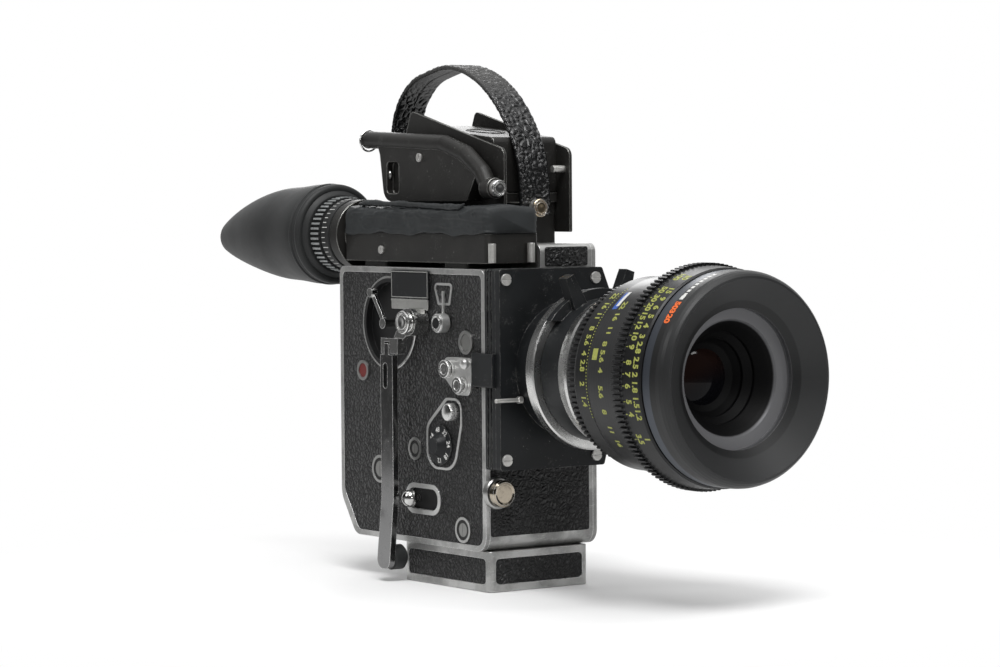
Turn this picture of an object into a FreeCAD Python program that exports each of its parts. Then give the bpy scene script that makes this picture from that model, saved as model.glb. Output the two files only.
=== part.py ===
"""A spring-wound film camera with a large lens, as separate pieces in one frame.

The lens points along -Y, the crank side faces -X, the film door faces +X and +Z is up.
The origin is the centre of the tripod thread, in the plane of the base's underside.
All lengths are in millimetres.
"""

import FreeCAD, Part
import math
import os
import Sketcher

# Driving sizes: each is written once here, and becomes one cell of the sheet
SIZES = {
    "base_length": 94.0,
    "base_width": 76.0,
    "base_height": 25.0,
    "base_corner": 3.0,
    "bush_radius": 8.0,
    "bush_depth": 14.0,
    "thread_radius": 4.05,
    "panel_depth": 0.85,
    "panel_margin": 4.5,
    "body_length": 163.5,
    "body_width": 86.0,
    "body_offset": 2.0,
    "front_overhang": 0.5,
    "thread_setback": 46.0,
    "crank_side_height": 175.0,
    "film_side_height": 190.0,
    "wall": 3.0,
    "partition_thickness": 2.0,
    "corner_radius": 5.0,
    "front_corner_radius": 9.5,
    "rear_cut_radius": 16.0,
    "rear_cut_height": 25.0,
    "rear_cut_length": 16.5,
    "cover_thickness": 3.0,
    "door_thickness": 3.0,
    "leather_thickness": 0.65,
    "leather_recess": 0.15,
    "trim_width": 3.6,
    "fit_gap": 0.3,
    "run_gap": 0.05,
    "lens_offset": 13.5,
    "lens_height": 138.0,
    "plate_height": 124.0,
    "plate_bottom": 76.5,
    "tongue_height": 21.0,
    "tongue_length": 11.0,
    "tongue_rise": 2.6,
    "block_thickness": 11.0,
    "plate_thickness": 5.0,
    "adapter_radius": 42.5,
    "adapter_length": 19.6,
    "mount_bore": 36.0,
    "mount_ring_radius": 49.5,
    "mount_ring_length": 7.4,
    "lock_ring_radius": 44.0,
    "lock_ring_length": 19.6,
    "lock_ear_reach": 20.0,
    "lock_ear_half": 5.2,
    "flange_rear_radius": 46.2,
    "flange_radius": 49.6,
    "flange_length": 14.8,
    "core_radius": 40.0,
    "core_bore": 37.0,
    "core_step": 6.0,
    "tooth_pitch": 3.4,
    "tooth_depth": 1.8,
    "tooth_width": 7.6,
    "iris_tooth_radius": 55.3,
    "iris_band_radius": 58.6,
    "sleeve_radius": 62.0,
    "focus_tooth_radius": 67.6,
    "focus_band_step": 1.6,
    "ring_wall": 4.0,
    "iris_ring_length": 32.0,
    "sleeve_length": 30.5,
    "focus_ring_length": 27.7,
    "front_radius": 63.8,
    "front_band": 13.0,
    "rim_length": 8.4,
    "crest_radius": 59.0,
    "front_opening": 41.5,
    "face_depth": 11.6,
    "front_wall": 3.0,
    "hood_radius": 32.0,
    "hood_depth": 10.5,
    "hood_end_radius": 20.5,
    "hood_length": 21.0,
    "glass_radius": 18.0,
    "iris_opening": 9.0,
    "crank_y": 22.4,
    "crank_z": 166.0,
    "crank_gap": 10.8,
    "crank_arm_thickness": 4.2,
    "crank_arm_width": 13.5,
    "crank_drop": 158.0,
    "crank_lean": 6.0,
    "crank_hub_radius": 8.8,
    "grip_radius": 8.0,
    "dish_y": 59.5,
    "dish_z": 164.0,
    "dish_radius": 27.5,
    "rim_width": 3.0,
    "rim_height": 0.65,
    "dial_y": 2.2,
    "dial_z": 89.0,
    "dial_radius": 12.5,
    "lock_knob_y": -12.5,
    "lock_knob_z": 110.6,
    "lock_knob_radius": 5.6,
    "knob_reach": 8.4,
    "sector_y": -4.0,
    "sector_z": 166.0,
    "sector_knob_radius": 6.0,
    "sector_knob_reach": 6.0,
    "upper_counter_y": -10.0,
    "upper_counter_z": 137.5,
    "upper_counter_radius": 5.8,
    "lower_counter_y": -24.0,
    "lower_counter_z": 128.0,
    "lower_counter_radius": 5.2,
    "clutch_y": 22.5,
    "clutch_z": 53.5,
    "clutch_length": 39.0,
    "clutch_height": 19.5,
    "clutch_ball": 5.6,
    "button_x": -33.5,
    "button_z": 61.8,
    "button_radius": 8.4,
    "button_reach": 10.0,
    "barrel_y": 22.0,
    "barrel_z": 136.0,
    "gear_module": 1.0,
    "spool_radius": 45.0,
    "spool_y": 67.5,
    "film_width": 16.0,
    "spool_flange": 1.0,
    "hub_radius": 16.0,
    "sprocket_radius": 12.0,
    "shaft_radius": 3.0,
    "gate_thickness": 2.0,
    "shutter_x": -8.0,
    "shutter_z": 128.0,
    "shutter_radius": 28.0,
    "finder_gap": 3.5,
    "finder_height": 18.5,
    "finder_setback": 1.5,
    "finder_wall": 1.6,
    "cover_rise": 15.5,
    "eyepiece_x": -20.0,
    "eyepiece_z": 220.0,
    "eyepiece_radius": 17.0,
    "dioptre_radius": 25.0,
    "scale_ring_length": 11.5,
    "dioptre_length": 21.0,
    "eyecup_radius": 32.5,
    "eyecup_length": 122.0,
    "eyecup_wall": 2.4,
    "saddle_left": -11.0,
    "saddle_width": 53.0,
    "saddle_front": -26.0,
    "saddle_length": 114.0,
    "saddle_floor": 241.0,
    "saddle_slab": 6.0,
    "guard_thickness": 2.0,
    "guard_front_height": 33.5,
    "guard_rear_height": 59.5,
    "guard_rear_slant": 11.0,
    "saddle_cover_front": 41.0,
    "saddle_cover_rear": 50.0,
    "tube_radius": 5.6,
    "tube_z": 282.5,
    "tube_rear": 117.5,
    "bracket_depth": 14.0,
    "strap_width": 24.0,
    "strap_thickness": 3.0,
    "latch_radius": 11.0,
    "latch_y": 36.0,
}

doc = FreeCAD.newDocument("FilmCamera")
sheet = doc.addObject("Spreadsheet::Sheet", "Sizes")


class Dim:
    """A length with its value and the formula that binds it to the sheet."""

    def __init__(self, value, text):
        self.value = value
        self.text = text

    @staticmethod
    def of(number):
        if isinstance(number, Dim):
            return number
        return Dim(float(number), repr(float(number)))

    def joined(self, sign, other, value):
        return Dim(value, "(%s %s %s)" % (self.text, sign, other.text))

    def __add__(self, other):
        other = Dim.of(other)
        return self.joined("+", other, self.value + other.value)

    def __sub__(self, other):
        other = Dim.of(other)
        return self.joined("-", other, self.value - other.value)

    def __mul__(self, other):
        other = Dim.of(other)
        return self.joined("*", other, self.value * other.value)

    def __truediv__(self, other):
        other = Dim.of(other)
        return self.joined("/", other, self.value / other.value)

    def __radd__(self, other):
        return Dim.of(other) + self

    def __rsub__(self, other):
        return Dim.of(other) - self

    def __rmul__(self, other):
        return Dim.of(other) * self

    def __neg__(self):
        return Dim(-self.value, "(-%s)" % self.text)


class Sizes:
    """The sheet's sizes by name."""


for row, (alias, number) in enumerate(SIZES.items(), 1):
    sheet.set("A%d" % row, alias)
    sheet.set("B%d" % row, repr(number))
    sheet.setAlias("B%d" % row, alias)
    setattr(Sizes, alias, Dim(number, "Sizes." + alias))
doc.recompute()

size = Sizes
V = FreeCAD.Vector
ZERO = Dim.of(0)
TOP, FRONT, SIDE = "XY_Plane", "XZ_Plane", "YZ_Plane"
TURNS = {
    "+x": FreeCAD.Rotation(V(0, 1, 0), 90),
    "-x": FreeCAD.Rotation(V(0, 1, 0), -90),
    "+y": FreeCAD.Rotation(V(1, 0, 0), -90),
    "-y": FreeCAD.Rotation(V(1, 0, 0), 90),
    "+z": FreeCAD.Rotation(),
    "-z": FreeCAD.Rotation(V(1, 0, 0), 180),
}
nodes = {}


def bind(thing, name, length):
    """Ties a property to the sheet."""
    length = Dim.of(length)
    thing.setExpression(name, length.text)


def place(thing, x=0, y=0, z=0, turn=None):
    """Puts an object at a bound place, turned so that its own +Z points along turn."""
    rotation = TURNS[turn] if isinstance(turn, str) else turn or FreeCAD.Rotation()
    thing.Placement = FreeCAD.Placement(V(Dim.of(x).value, Dim.of(y).value, Dim.of(z).value), rotation)
    for axis, length in zip("xyz", (x, y, z)):
        bind(thing, "Placement.Base." + axis, length)
    return thing


def node(thing, name):
    """Names an object as one piece of the camera."""
    thing.Label = name
    nodes[name] = thing
    return thing


# Outlines: a wire is ("circle", u, v, r) or a list of corners (u, v) or (u, v, radius)
def circle(u, v, r):
    return ("circle", Dim.of(u), Dim.of(v), Dim.of(r))


def rect(u0, v0, u1, v1, r=0):
    return [(u0, v0, r), (u1, v0, r), (u1, v1, r), (u0, v1, r)]


def corner_cut(before, corner, after, radius):
    """The two tangent points of a rounded corner, and how the arc bends."""
    to_before = V(before[0].value - corner[0].value, before[1].value - corner[1].value, 0).normalize()
    to_after = V(after[0].value - corner[0].value, after[1].value - corner[1].value, 0).normalize()
    half = to_before.getAngle(to_after) / 2
    run = radius * (1 / math.tan(half))
    start = (corner[0] + run * to_before.x, corner[1] + run * to_before.y)
    end = (corner[0] + run * to_after.x, corner[1] + run * to_after.y)
    middle = (to_before + to_after).normalize() * (radius.value / math.sin(half))
    centre = V(corner[0].value, corner[1].value, 0) + middle
    return start, end, centre


def pin_point(sketch, geometry, which, point):
    """Ties one point of a sketch to the sheet."""
    for kind, length in zip(("DistanceX", "DistanceY"), point):
        index = sketch.addConstraint(Sketcher.Constraint(kind, -1, 1, geometry, which, length.value))
        sketch.setExpression("Constraints[%d]" % index, length.text)


def draw_circle(sketch, u, v, r):
    geometry = sketch.addGeometry(Part.Circle(V(u.value, v.value, 0), V(0, 0, 1), r.value))
    pin_point(sketch, geometry, 3, (u, v))
    index = sketch.addConstraint(Sketcher.Constraint("Radius", geometry, r.value))
    sketch.setExpression("Constraints[%d]" % index, r.text)


def draw_arc(sketch, start, end, centre, radius):
    first = V(start[0].value, start[1].value, 0) - centre
    last = V(end[0].value, end[1].value, 0) - centre
    a, b = math.atan2(first.y, first.x), math.atan2(last.y, last.x)
    counter = (first.cross(last)).z > 0
    ring = Part.Circle(centre, V(0, 0, 1), radius.value)
    arc = Part.ArcOfCircle(ring, a, b) if counter else Part.ArcOfCircle(ring, b, a)
    geometry = sketch.addGeometry(arc)
    index = sketch.addConstraint(Sketcher.Constraint("Radius", geometry, radius.value))
    sketch.setExpression("Constraints[%d]" % index, radius.text)
    return geometry, (1, 2) if counter else (2, 1)


def draw_loop(sketch, corners):
    """A closed loop of lines, with arcs at the corners that have a radius."""
    points = [(Dim.of(c[0]), Dim.of(c[1])) for c in corners]
    radii = [Dim.of(c[2]) if len(c) > 2 else ZERO for c in corners]
    count = len(points)
    cuts = []
    for i, point in enumerate(points):
        if radii[i].value > 1e-6:
            cuts.append(corner_cut(points[i - 1], point, points[(i + 1) % count], radii[i]))
        else:
            cuts.append((point, point, None))
    lines = []
    for i in range(count):
        start, end = cuts[i][1], cuts[(i + 1) % count][0]
        a, b = V(start[0].value, start[1].value, 0), V(end[0].value, end[1].value, 0)
        lines.append(sketch.addGeometry(Part.LineSegment(a, b)))
        pin_point(sketch, lines[-1], 1, start)
        if cuts[(i + 1) % count][2] is not None:
            pin_point(sketch, lines[-1], 2, end)
    for i in range(count):
        start, end, centre = cuts[i]
        if centre is None:
            sketch.addConstraint(Sketcher.Constraint("Coincident", lines[i - 1], 2, lines[i], 1))
            continue
        arc, (first, last) = draw_arc(sketch, start, end, centre, radii[i])
        sketch.addConstraint(Sketcher.Constraint("Coincident", arc, first, lines[i - 1], 2))
        sketch.addConstraint(Sketcher.Constraint("Coincident", arc, last, lines[i], 1))


def draw(body, plane, wires, offset):
    """A sketch on one of the body's own origin planes, moved along that plane's normal."""
    sketch = body.newObject("Sketcher::SketchObject", body.Name + "_sketch")
    origin_plane = [f for f in body.Origin.OriginFeatures if f.Role == plane][0]
    sketch.AttachmentSupport = [(origin_plane, "")]
    sketch.MapMode = "FlatFace"
    bind(sketch, "AttachmentOffset.Base.z", offset)
    for wire in wires:
        if wire[0] == "circle":
            draw_circle(sketch, *wire[1:])
        else:
            draw_loop(sketch, wire)
    return sketch


def new_body(name):
    return doc.addObject("PartDesign::Body", name)


def as_wires(shape):
    one = shape[0] == "circle" or (isinstance(shape, list) and not is_wire(shape[0]))
    return [shape] if one else shape


def is_wire(item):
    return isinstance(item, list) or (isinstance(item, tuple) and item[0] == "circle")


def pad(body, plane, shape, low, high):
    """Adds a slab between two places along the plane's world axis."""
    low, high = Dim.of(low), Dim.of(high)
    offset = -high if plane == FRONT else low
    sketch = draw(body, plane, as_wires(shape), offset)
    feature = body.newObject("PartDesign::Pad", body.Name + "_pad")
    feature.Profile = sketch
    bind(feature, "Length", high - low)
    return feature


def pocket(body, plane, shape, low, high):
    """Cuts a slab between two places along the plane's world axis."""
    low, high = Dim.of(low), Dim.of(high)
    offset = -low if plane == FRONT else high
    sketch = draw(body, plane, as_wires(shape), offset)
    feature = body.newObject("PartDesign::Pocket", body.Name + "_pocket")
    feature.Profile = sketch
    bind(feature, "Length", high - low)
    return feature


def turned(name, profile, x=0, y=0, z=0, turn="+z"):
    """A piece turned from a profile of (radius, height) corners about its own axis."""
    body = new_body(name)
    sketch = draw(body, FRONT, [profile], ZERO)
    feature = body.newObject("PartDesign::Revolution", name + "_turn")
    feature.Profile = sketch
    feature.ReferenceAxis = (sketch, ["V_Axis"])
    feature.Angle = 360
    return place(body, x, y, z, turn)


def tube(name, bore, outer, low, high, x=0, y=0, z=0, turn="+z"):
    return turned(name, [(bore, low), (outer, low), (outer, high), (bore, high)], x, y, z, turn)


def disc(name, outer, low, high, x=0, y=0, z=0, turn="+z"):
    return tube(name, 0, outer, low, high, x, y, z, turn)


def teeth(body, plane, role, count, corners, low, high):
    """A ring of equal teeth from one tooth's outline."""
    tooth = pad(body, plane, corners, low, high)
    doc.recompute()
    pattern = body.newObject("PartDesign::PolarPattern", body.Name + "_teeth")
    pattern.Originals = [tooth]
    pattern.Axis = ([f for f in body.Origin.OriginFeatures if f.Role == role][0], [""])
    pattern.Angle = 360
    pattern.Occurrences = count
    body.Tip = pattern
    return pattern


def tooth_corners(root, pitch, tip, module):
    """One straight-sided tooth on the +U axis, thin enough to leave backlash."""
    widths = (0.9 * module, 0.6 * module, 0.3 * module)
    radii = (root - 0.3 * module, pitch, tip)
    left = [(r, -w) for r, w in zip(radii, widths)]
    right = [(r, w) for r, w in zip(reversed(radii), reversed(widths))]
    return left + right


def block(name, x0, x1, y0, y1, z0, z1):
    box = doc.addObject("Part::Box", name)
    for side, low, high in (("Length", x0, x1), ("Width", y0, y1), ("Height", z0, z1)):
        bind(box, side, Dim.of(high) - Dim.of(low))
    return place(box, x0, y0, z0)


def rod(name, radius, length, x, y, z, turn):
    cylinder = doc.addObject("Part::Cylinder", name)
    bind(cylinder, "Radius", radius)
    bind(cylinder, "Height", length)
    return place(cylinder, x, y, z, turn)


def ball(name, radius, x, y, z):
    sphere = doc.addObject("Part::Sphere", name)
    bind(sphere, "Radius", radius)
    return place(sphere, x, y, z)


def fuse(name, *pieces):
    joined = doc.addObject("Part::MultiFuse", name)
    joined.Shapes = list(pieces)
    joined.Refine = True
    return joined


def cut(name, base, *tools):
    result = doc.addObject("Part::Cut", name)
    result.Base = base
    result.Tool = tools[0] if len(tools) == 1 else fuse(name + "_tools", *tools)
    return result


def group(name, *pieces):
    """Separate solids that share one node."""
    bundle = doc.addObject("Part::Compound", name)
    bundle.Links = list(pieces)
    return node(bundle, name)


# Places that many pieces share
front_y = -size.thread_setback
rear_y = front_y + size.body_length
crank_x = size.body_offset - size.body_width / 2
door_x = crank_x + size.body_width
casting_left = crank_x + size.cover_thickness
casting_right = door_x - size.door_thickness
body_z = size.base_height
crank_top = body_z + size.crank_side_height
film_top = body_z + size.film_side_height
lens_x = size.lens_offset
lens_z = size.lens_height
film_left = lens_x - size.film_width / 2
partition_right = film_left - size.spool_flange - 2 * size.fit_gap
partition_left = partition_right - size.partition_thickness
cover_skin = crank_x + size.leather_recess + size.leather_thickness
leather_x = crank_x + size.leather_recess
rim_x = leather_x - size.rim_height


def body_outline(top, inset=0, round_by=1):
    """The camera's side outline, with its rounded lower front corner and its cut lower rear corner."""
    low, high = body_z + inset, top - inset
    near, far = front_y + inset, rear_y - inset
    radius = size.corner_radius * round_by
    return [
        (near, low, size.front_corner_radius - inset),
        (far - size.rear_cut_length, low, size.rear_cut_radius * 0.6 - inset),
        (far, low + size.rear_cut_height, size.rear_cut_radius - inset),
        (far, high, radius),
        (near, high, radius),
    ]


def make_base():
    half_x = size.base_width / 2
    near_y = front_y + size.front_overhang
    far_y = near_y + size.base_length
    floor = size.panel_depth
    margin = size.panel_margin
    base = new_body("base_block_body")
    pad(base, TOP, rect(-half_x, near_y, half_x, far_y, size.base_corner), 0, size.base_height)
    pocket(base, TOP, circle(0, 0, size.bush_radius + size.run_gap), 0, size.bush_depth)
    high = size.base_height - margin
    side = rect(near_y + margin, margin, far_y - margin, high, size.base_corner)
    face = rect(-half_x + margin, margin, half_x - margin, high, size.base_corner)
    pocket(base, SIDE, side, -half_x, -half_x + floor)
    pocket(base, SIDE, side, half_x - floor, half_x)
    pocket(base, FRONT, face, near_y, near_y + floor)
    pocket(base, FRONT, face, far_y - floor, far_y)
    node(base, "base_block")
    node(
        tube("tripod_bush_body", size.thread_radius, size.bush_radius, 0, size.bush_depth),
        "tripod_bush",
    )
    gap = size.fit_gap
    inset = margin + gap
    inner_side = rect(near_y + inset, inset, far_y - inset, high - gap, size.base_corner)
    inner_face = rect(-half_x + inset, inset, half_x - inset, high - gap, size.base_corner)
    panels = []
    for index, (plane, shape, low) in enumerate(
        (
            (SIDE, inner_side, -half_x + size.leather_recess),
            (SIDE, inner_side, half_x - floor),
            (FRONT, inner_face, near_y + size.leather_recess),
            (FRONT, inner_face, far_y - floor),
        )
    ):
        panel = new_body("base_panel_%d" % index)
        pad(panel, plane, shape, low, low + floor - size.leather_recess)
        panels.append(panel)
    return panels


def make_casting():
    casting = new_body("body_casting_body")
    pad(casting, SIDE, body_outline(crank_top), casting_left, partition_left + size.partition_thickness)
    pad(casting, SIDE, body_outline(film_top), partition_left, casting_right)
    pocket(casting, SIDE, body_outline(crank_top, size.wall), casting_left, partition_left)
    pocket(casting, SIDE, body_outline(film_top, size.wall), partition_right, casting_right)
    pocket(casting, FRONT, circle(lens_x, lens_z, size.film_width / 2 + 1), front_y, front_y + size.wall)
    shaft_hole = circle(size.shutter_x, size.shutter_z, size.shaft_radius + size.run_gap)
    pocket(casting, FRONT, shaft_hole, front_y, front_y + size.wall)
    plunger_hole = circle(size.button_x, size.button_z, size.shaft_radius + size.run_gap)
    pocket(casting, FRONT, plunger_hole, front_y, front_y + size.wall)
    for y, z in shaft_places():
        hole = circle(y, z, size.shaft_radius + size.run_gap)
        pocket(casting, SIDE, hole, partition_left, partition_right)
    node(casting, "body_casting")


GEAR_TEETH = 56
PINION_TEETH = 16
MESH_ANGLE = math.radians(40)


def gear_pitch(count):
    return size.gear_module * count / 2


def sprocket_place(up):
    """Where a sprocket shaft lies, a pitch distance from the spring barrel's axis."""
    reach = gear_pitch(GEAR_TEETH) + gear_pitch(PINION_TEETH)
    return size.barrel_y - reach * math.cos(MESH_ANGLE), size.barrel_z + reach * math.sin(MESH_ANGLE) * up


def spool_place(up):
    inner_low = body_z + size.wall
    inner_high = film_top - size.wall
    edge = size.spool_radius + size.fit_gap * 3
    return size.spool_y, (inner_high - edge) if up > 0 else (inner_low + edge)


def shaft_places():
    return [sprocket_place(1), sprocket_place(-1), spool_place(1), spool_place(-1)]


def clutch_wire(inset=0):
    """The rounded slot of the clutch knob's recess."""
    half_y, half_z = size.clutch_length / 2 - inset, size.clutch_height / 2 - inset
    radius = size.clutch_height / 2 - inset - 0.5
    y, z = size.clutch_y, size.clutch_z
    return rect(y - half_y, z - half_z, y + half_y, z + half_z, radius)


def sector_wire(inset=0):
    """The fan-shaped window over the pointer knob."""
    y, z = size.sector_y, size.sector_z
    radius = 3.2 - inset
    return [
        (y - 5 + inset, z + 11 + inset, radius / 2),
        (y + 8 - inset, z + 11 + inset, radius / 2),
        (y + 13 - inset, z + 25 - inset, radius),
        (y - 8 + inset, z + 25 - inset, radius),
    ]


def bezel_wire(inset=0):
    """The dial's bezel: a large round end with a narrow shoulder that reaches the lock knob."""
    y, z = size.dial_y, size.dial_z
    top_y, top_z = size.lock_knob_y, size.lock_knob_z
    wide = size.dial_radius + size.rim_width - inset
    slim = size.lock_knob_radius + size.rim_width - inset
    return [
        (y + wide, z - wide, wide * 0.8),
        (y + wide, z + wide * 0.8, wide * 0.6),
        (top_y + slim, top_z + slim, slim * 0.7),
        (top_y - slim, top_z + slim, slim * 0.9),
        (top_y - slim, top_z - slim, slim * 0.5),
        (y - wide, z - wide, wide * 0.8),
    ]


def side_holes(extra):
    """Openings through the crank side's cover, wider by extra in the leather over it."""
    return [
        circle(size.dish_y, size.dish_z, size.dish_radius + extra),
        circle(size.crank_y, size.crank_z, size.shaft_radius + 2 + size.run_gap + extra),
    ]


PORTS = ((31.3, 85.0, 7.2), (71.5, 69.5, 9.0), (-21.2, 37.2, 8.2))
WINDOWS = ((89.7, 132.6, 6.6), (-26.5, 154.5, 7.4))


def make_side():
    cover = new_body("side_cover_body")
    trim_inner = body_outline(crank_top, size.trim_width, 0.7)
    pad(cover, SIDE, [body_outline(crank_top)] + side_holes(0), cover_skin, casting_left)
    pad(cover, SIDE, [body_outline(crank_top), trim_inner], crank_x, cover_skin)
    pocket(cover, SIDE, clutch_wire(size.rim_width), cover_skin, cover_skin + size.wall / 2)
    node(cover, "side_cover")
    leather = new_body("side_leather")
    field = body_outline(crank_top, size.trim_width + size.fit_gap / 2, 0.6)
    pad(leather, SIDE, [field, clutch_wire(size.rim_width)] + side_holes(0), leather_x, cover_skin)
    return leather


def make_leather(panels):
    """The leatherette fields of the base, the crank side, the front and the back."""
    pieces = panels + [make_side()]
    thick = size.leather_thickness
    low_front = new_body("leather_front_low")
    edge = size.trim_width
    low, high = body_z + size.front_corner_radius, size.plate_bottom - size.fit_gap
    shape = rect(crank_x + edge, low, casting_right - edge, high, 1.5)
    pad(low_front, FRONT, shape, front_y - thick, front_y)
    button_hole = circle(size.button_x, size.button_z, size.button_radius + 1.6 + size.fit_gap)
    pocket(low_front, FRONT, button_hole, front_y - thick, front_y)
    high_front = new_body("leather_front_high")
    low = size.plate_bottom + size.plate_height + size.fit_gap * 2
    shape = rect(partition_left + edge, low, casting_right - edge, film_top - edge / 2, 1.5)
    pad(high_front, FRONT, shape, front_y - thick, front_y)
    back = new_body("leather_back")
    low = body_z + size.rear_cut_height + size.corner_radius * 2
    shape = rect(casting_left + edge, low, casting_right - edge, crank_top - edge - size.corner_radius, 1.5)
    pad(back, FRONT, shape, rear_y, rear_y + thick)
    group("leather_panels", *pieces, low_front, high_front, back)


def make_side_fittings():
    height = size.rim_height
    dish = size.dish_radius
    depth = size.wall + 1
    cup_floor = leather_x + depth
    profile = [
        (0, -depth - 1),
        (dish - size.run_gap, -depth - 1),
        (dish - size.run_gap, 0),
        (dish + size.rim_width, 0),
        (dish + size.rim_width - 0.4, height),
        (dish - 1, height),
        (dish - 1, -depth),
        (0, -depth),
    ]
    node(turned("dish_cup_body", profile, leather_x, size.dish_y, size.dish_z, "-x"), "dish_cup")

    plate = new_body("name_plate_body")
    plate_x = rim_x - 0.8
    shape = rect(size.dish_y - 46, size.dish_z + 16.3, size.dish_y - 4, crank_top - 1.6, 1.2)
    pad(plate, SIDE, shape, plate_x, rim_x)
    node(plate, "name_plate")

    reach = size.dish_radius - 3.5
    lean = math.radians(36)
    boss_x = cup_floor - size.fit_gap
    lever = fuse(
        "rewind_lever_body",
        rod("lever_boss", 3.4, cup_floor - plate_x + 4, boss_x, size.dish_y, size.dish_z, "-x"),
        lever_bar(reach, lean, plate_x),
        rod(
            "lever_end",
            3.0,
            4.2,
            plate_x - size.fit_gap,
            size.dish_y + reach * math.sin(lean),
            size.dish_z + reach * math.cos(lean),
            "-x",
        ),
    )
    node(lever, "rewind_lever")

    bezels = []
    for index, outer in enumerate((clutch_wire, sector_wire, bezel_wire)):
        bezel = new_body("bezel_%d" % index)
        rim = size.rim_width if index == 0 else size.rim_width / 2
        pad(bezel, SIDE, [outer(), outer(rim)], rim_x, leather_x)
        bezels.append(bezel)
    group("control_bezels", *bezels)

    rings = []
    for index, (y, z, r) in enumerate(PORTS):
        rings.append(tube("port_ring_%d" % index, r - 1.8, r, 0, height, leather_x, y, z, "-x"))
        rings.append(slotted_disc("port_plug_%d" % index, r - 2.1, height / 2, leather_x, y, z))
    for index, (y, z, r) in enumerate(WINDOWS):
        rings.append(tube("window_ring_%d" % index, r - 1.9, r, 0, height * 2, leather_x, y, z, "-x"))
    collar = [
        (size.button_radius + size.run_gap, 0),
        (size.button_radius + 1.6, 0),
        (size.button_radius + 1.6, 3.2),
        (size.button_radius + 0.8, 4.0),
        (size.button_radius + size.run_gap, 4.0),
    ]
    rings.append(turned("button_collar", collar, size.button_x, front_y, size.button_z, "-y"))
    group("bezel_rings", *rings)
    glasses = []
    for index, (y, z, r) in enumerate(WINDOWS):
        glasses.append(disc("window_glass_%d" % index, r - 2.0, 0, height, leather_x, y, z, "-x"))
    group("window_glasses", *glasses)


def lever_bar(reach, lean, plate_x):
    """The flat bar from the small lever's boss to its end, square to its own lean."""
    bar = doc.addObject("Part::Box", "lever_bar")
    bind(bar, "Length", 2.0)
    bind(bar, "Width", 3.2)
    bind(bar, "Height", reach)
    turn = FreeCAD.Rotation(V(1, 0, 0), -math.degrees(lean))
    start = turn.multVec(V(0, -1.6, 0))
    return place(bar, plate_x - size.fit_gap - 2.6, size.dish_y + start.y, size.dish_z + start.z, turn)


def slotted_disc(name, r, height, x, y, z):
    """A flat screw or plug with a straight slot, its face towards -X."""
    plug = disc(name + "_disc", r, 0, height, x, y, z, "-x")
    slot = block(name + "_slot", x - height - 1, x - height / 2, y - 0.6, y + 0.6, z - r * 0.6, z + r * 0.6)
    return cut(name, plug, slot)


def make_side_knobs():
    reach = size.sector_knob_reach
    y, z = size.sector_y, size.sector_z
    knob = fuse(
        "sector_knob_body",
        disc("sector_knob_head", size.sector_knob_radius, size.fit_gap, reach, rim_x, y, z, "-x"),
        block("sector_pointer", rim_x - 1.4, rim_x - size.fit_gap, y - 0.2, y + 1.6, z + 3, z + 20),
        disc("sector_shaft", 2, -size.rim_height, size.fit_gap, rim_x, y, z, "-x"),
    )
    node(knob, "sector_knob")

    plate = new_body("counter_plate_body")
    upper_y, upper_z = size.upper_counter_y, size.upper_counter_z
    lower_y, lower_z = size.lower_counter_y, size.lower_counter_z
    outline = [
        (lower_y - 7, lower_z - 6.5, 4),
        (lower_y + 7, lower_z - 6.5, 4),
        (upper_y + 7, upper_z - 5, 4),
        (upper_y + 7, upper_z + 7, 5),
        (upper_y - 5, upper_z + 7.5, 4),
        (lower_y - 10, upper_z + 7.5, 4),
        (lower_y - 10, upper_z - 2, 3),
    ]
    pad(plate, SIDE, outline, rim_x - 0.8, leather_x)
    profile = [(0, -0.4), (2.2, -0.4), (2.2, 0.6), (3.4, 1.9), (3.4, 3.4), (2.3, 4.7), (0, 5.2)]
    bead = turned("counter_bead", profile, rim_x - 0.8, lower_y - 5.6, upper_z + 3.9, "-x")
    node(fuse("counter_plate_all", plate, bead), "counter_plate")
    for label, y, z, r in (
        ("counter_knob_upper", upper_y, upper_z, size.upper_counter_radius),
        ("counter_knob_lower", lower_y, lower_z, size.lower_counter_radius),
    ):
        profile = [
            (0, 0.8 + size.fit_gap),
            (r, 0.8 + size.fit_gap),
            (r, reach - 3.2),
            (r - 1.5, reach - 2.8),
            (r - 1.5, reach - 2.2),
            (r, reach - 1.8),
            (r, reach),
            (0, reach),
        ]
        node(turned(label + "_body", profile, rim_x, y, z, "-x"), label)

    dial = size.dial_radius
    profile = [
        (0, size.fit_gap - size.rim_height),
        (dial - 0.2, size.fit_gap - size.rim_height),
        (dial - 0.2, 0.5),
        (dial * 0.66, 0.9),
        (dial * 0.52, 3.4),
        (dial * 0.42, reach - 0.6),
        (dial * 0.38, reach),
        (0, reach),
    ]
    node(turned("speed_dial_body", profile, rim_x, size.dial_y, size.dial_z, "-x"), "speed_dial")
    slim = size.lock_knob_radius
    profile = [
        (0, size.fit_gap - size.rim_height),
        (slim, size.fit_gap - size.rim_height),
        (slim, reach - 0.8),
        (slim - 0.8, reach),
        (0, reach),
    ]
    node(
        turned("dial_lock_knob_body", profile, rim_x, size.lock_knob_y, size.lock_knob_z, "-x"),
        "dial_lock_knob",
    )

    ball_y = size.clutch_y + size.clutch_length / 2 - size.clutch_height / 2 - 1
    r = size.clutch_ball
    profile = [
        (0, -size.wall + 0.4),
        (2.4, -size.wall + 0.4),
        (2.4, -size.rim_height),
        (r, -size.rim_height, r * 0.8),
        (r, r * 1.7 - size.rim_height, r * 0.9),
        (0, r * 1.7 - size.rim_height),
    ]
    node(turned("clutch_knob_body", profile, rim_x, ball_y, size.clutch_z, "-x"), "clutch_knob")


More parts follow.
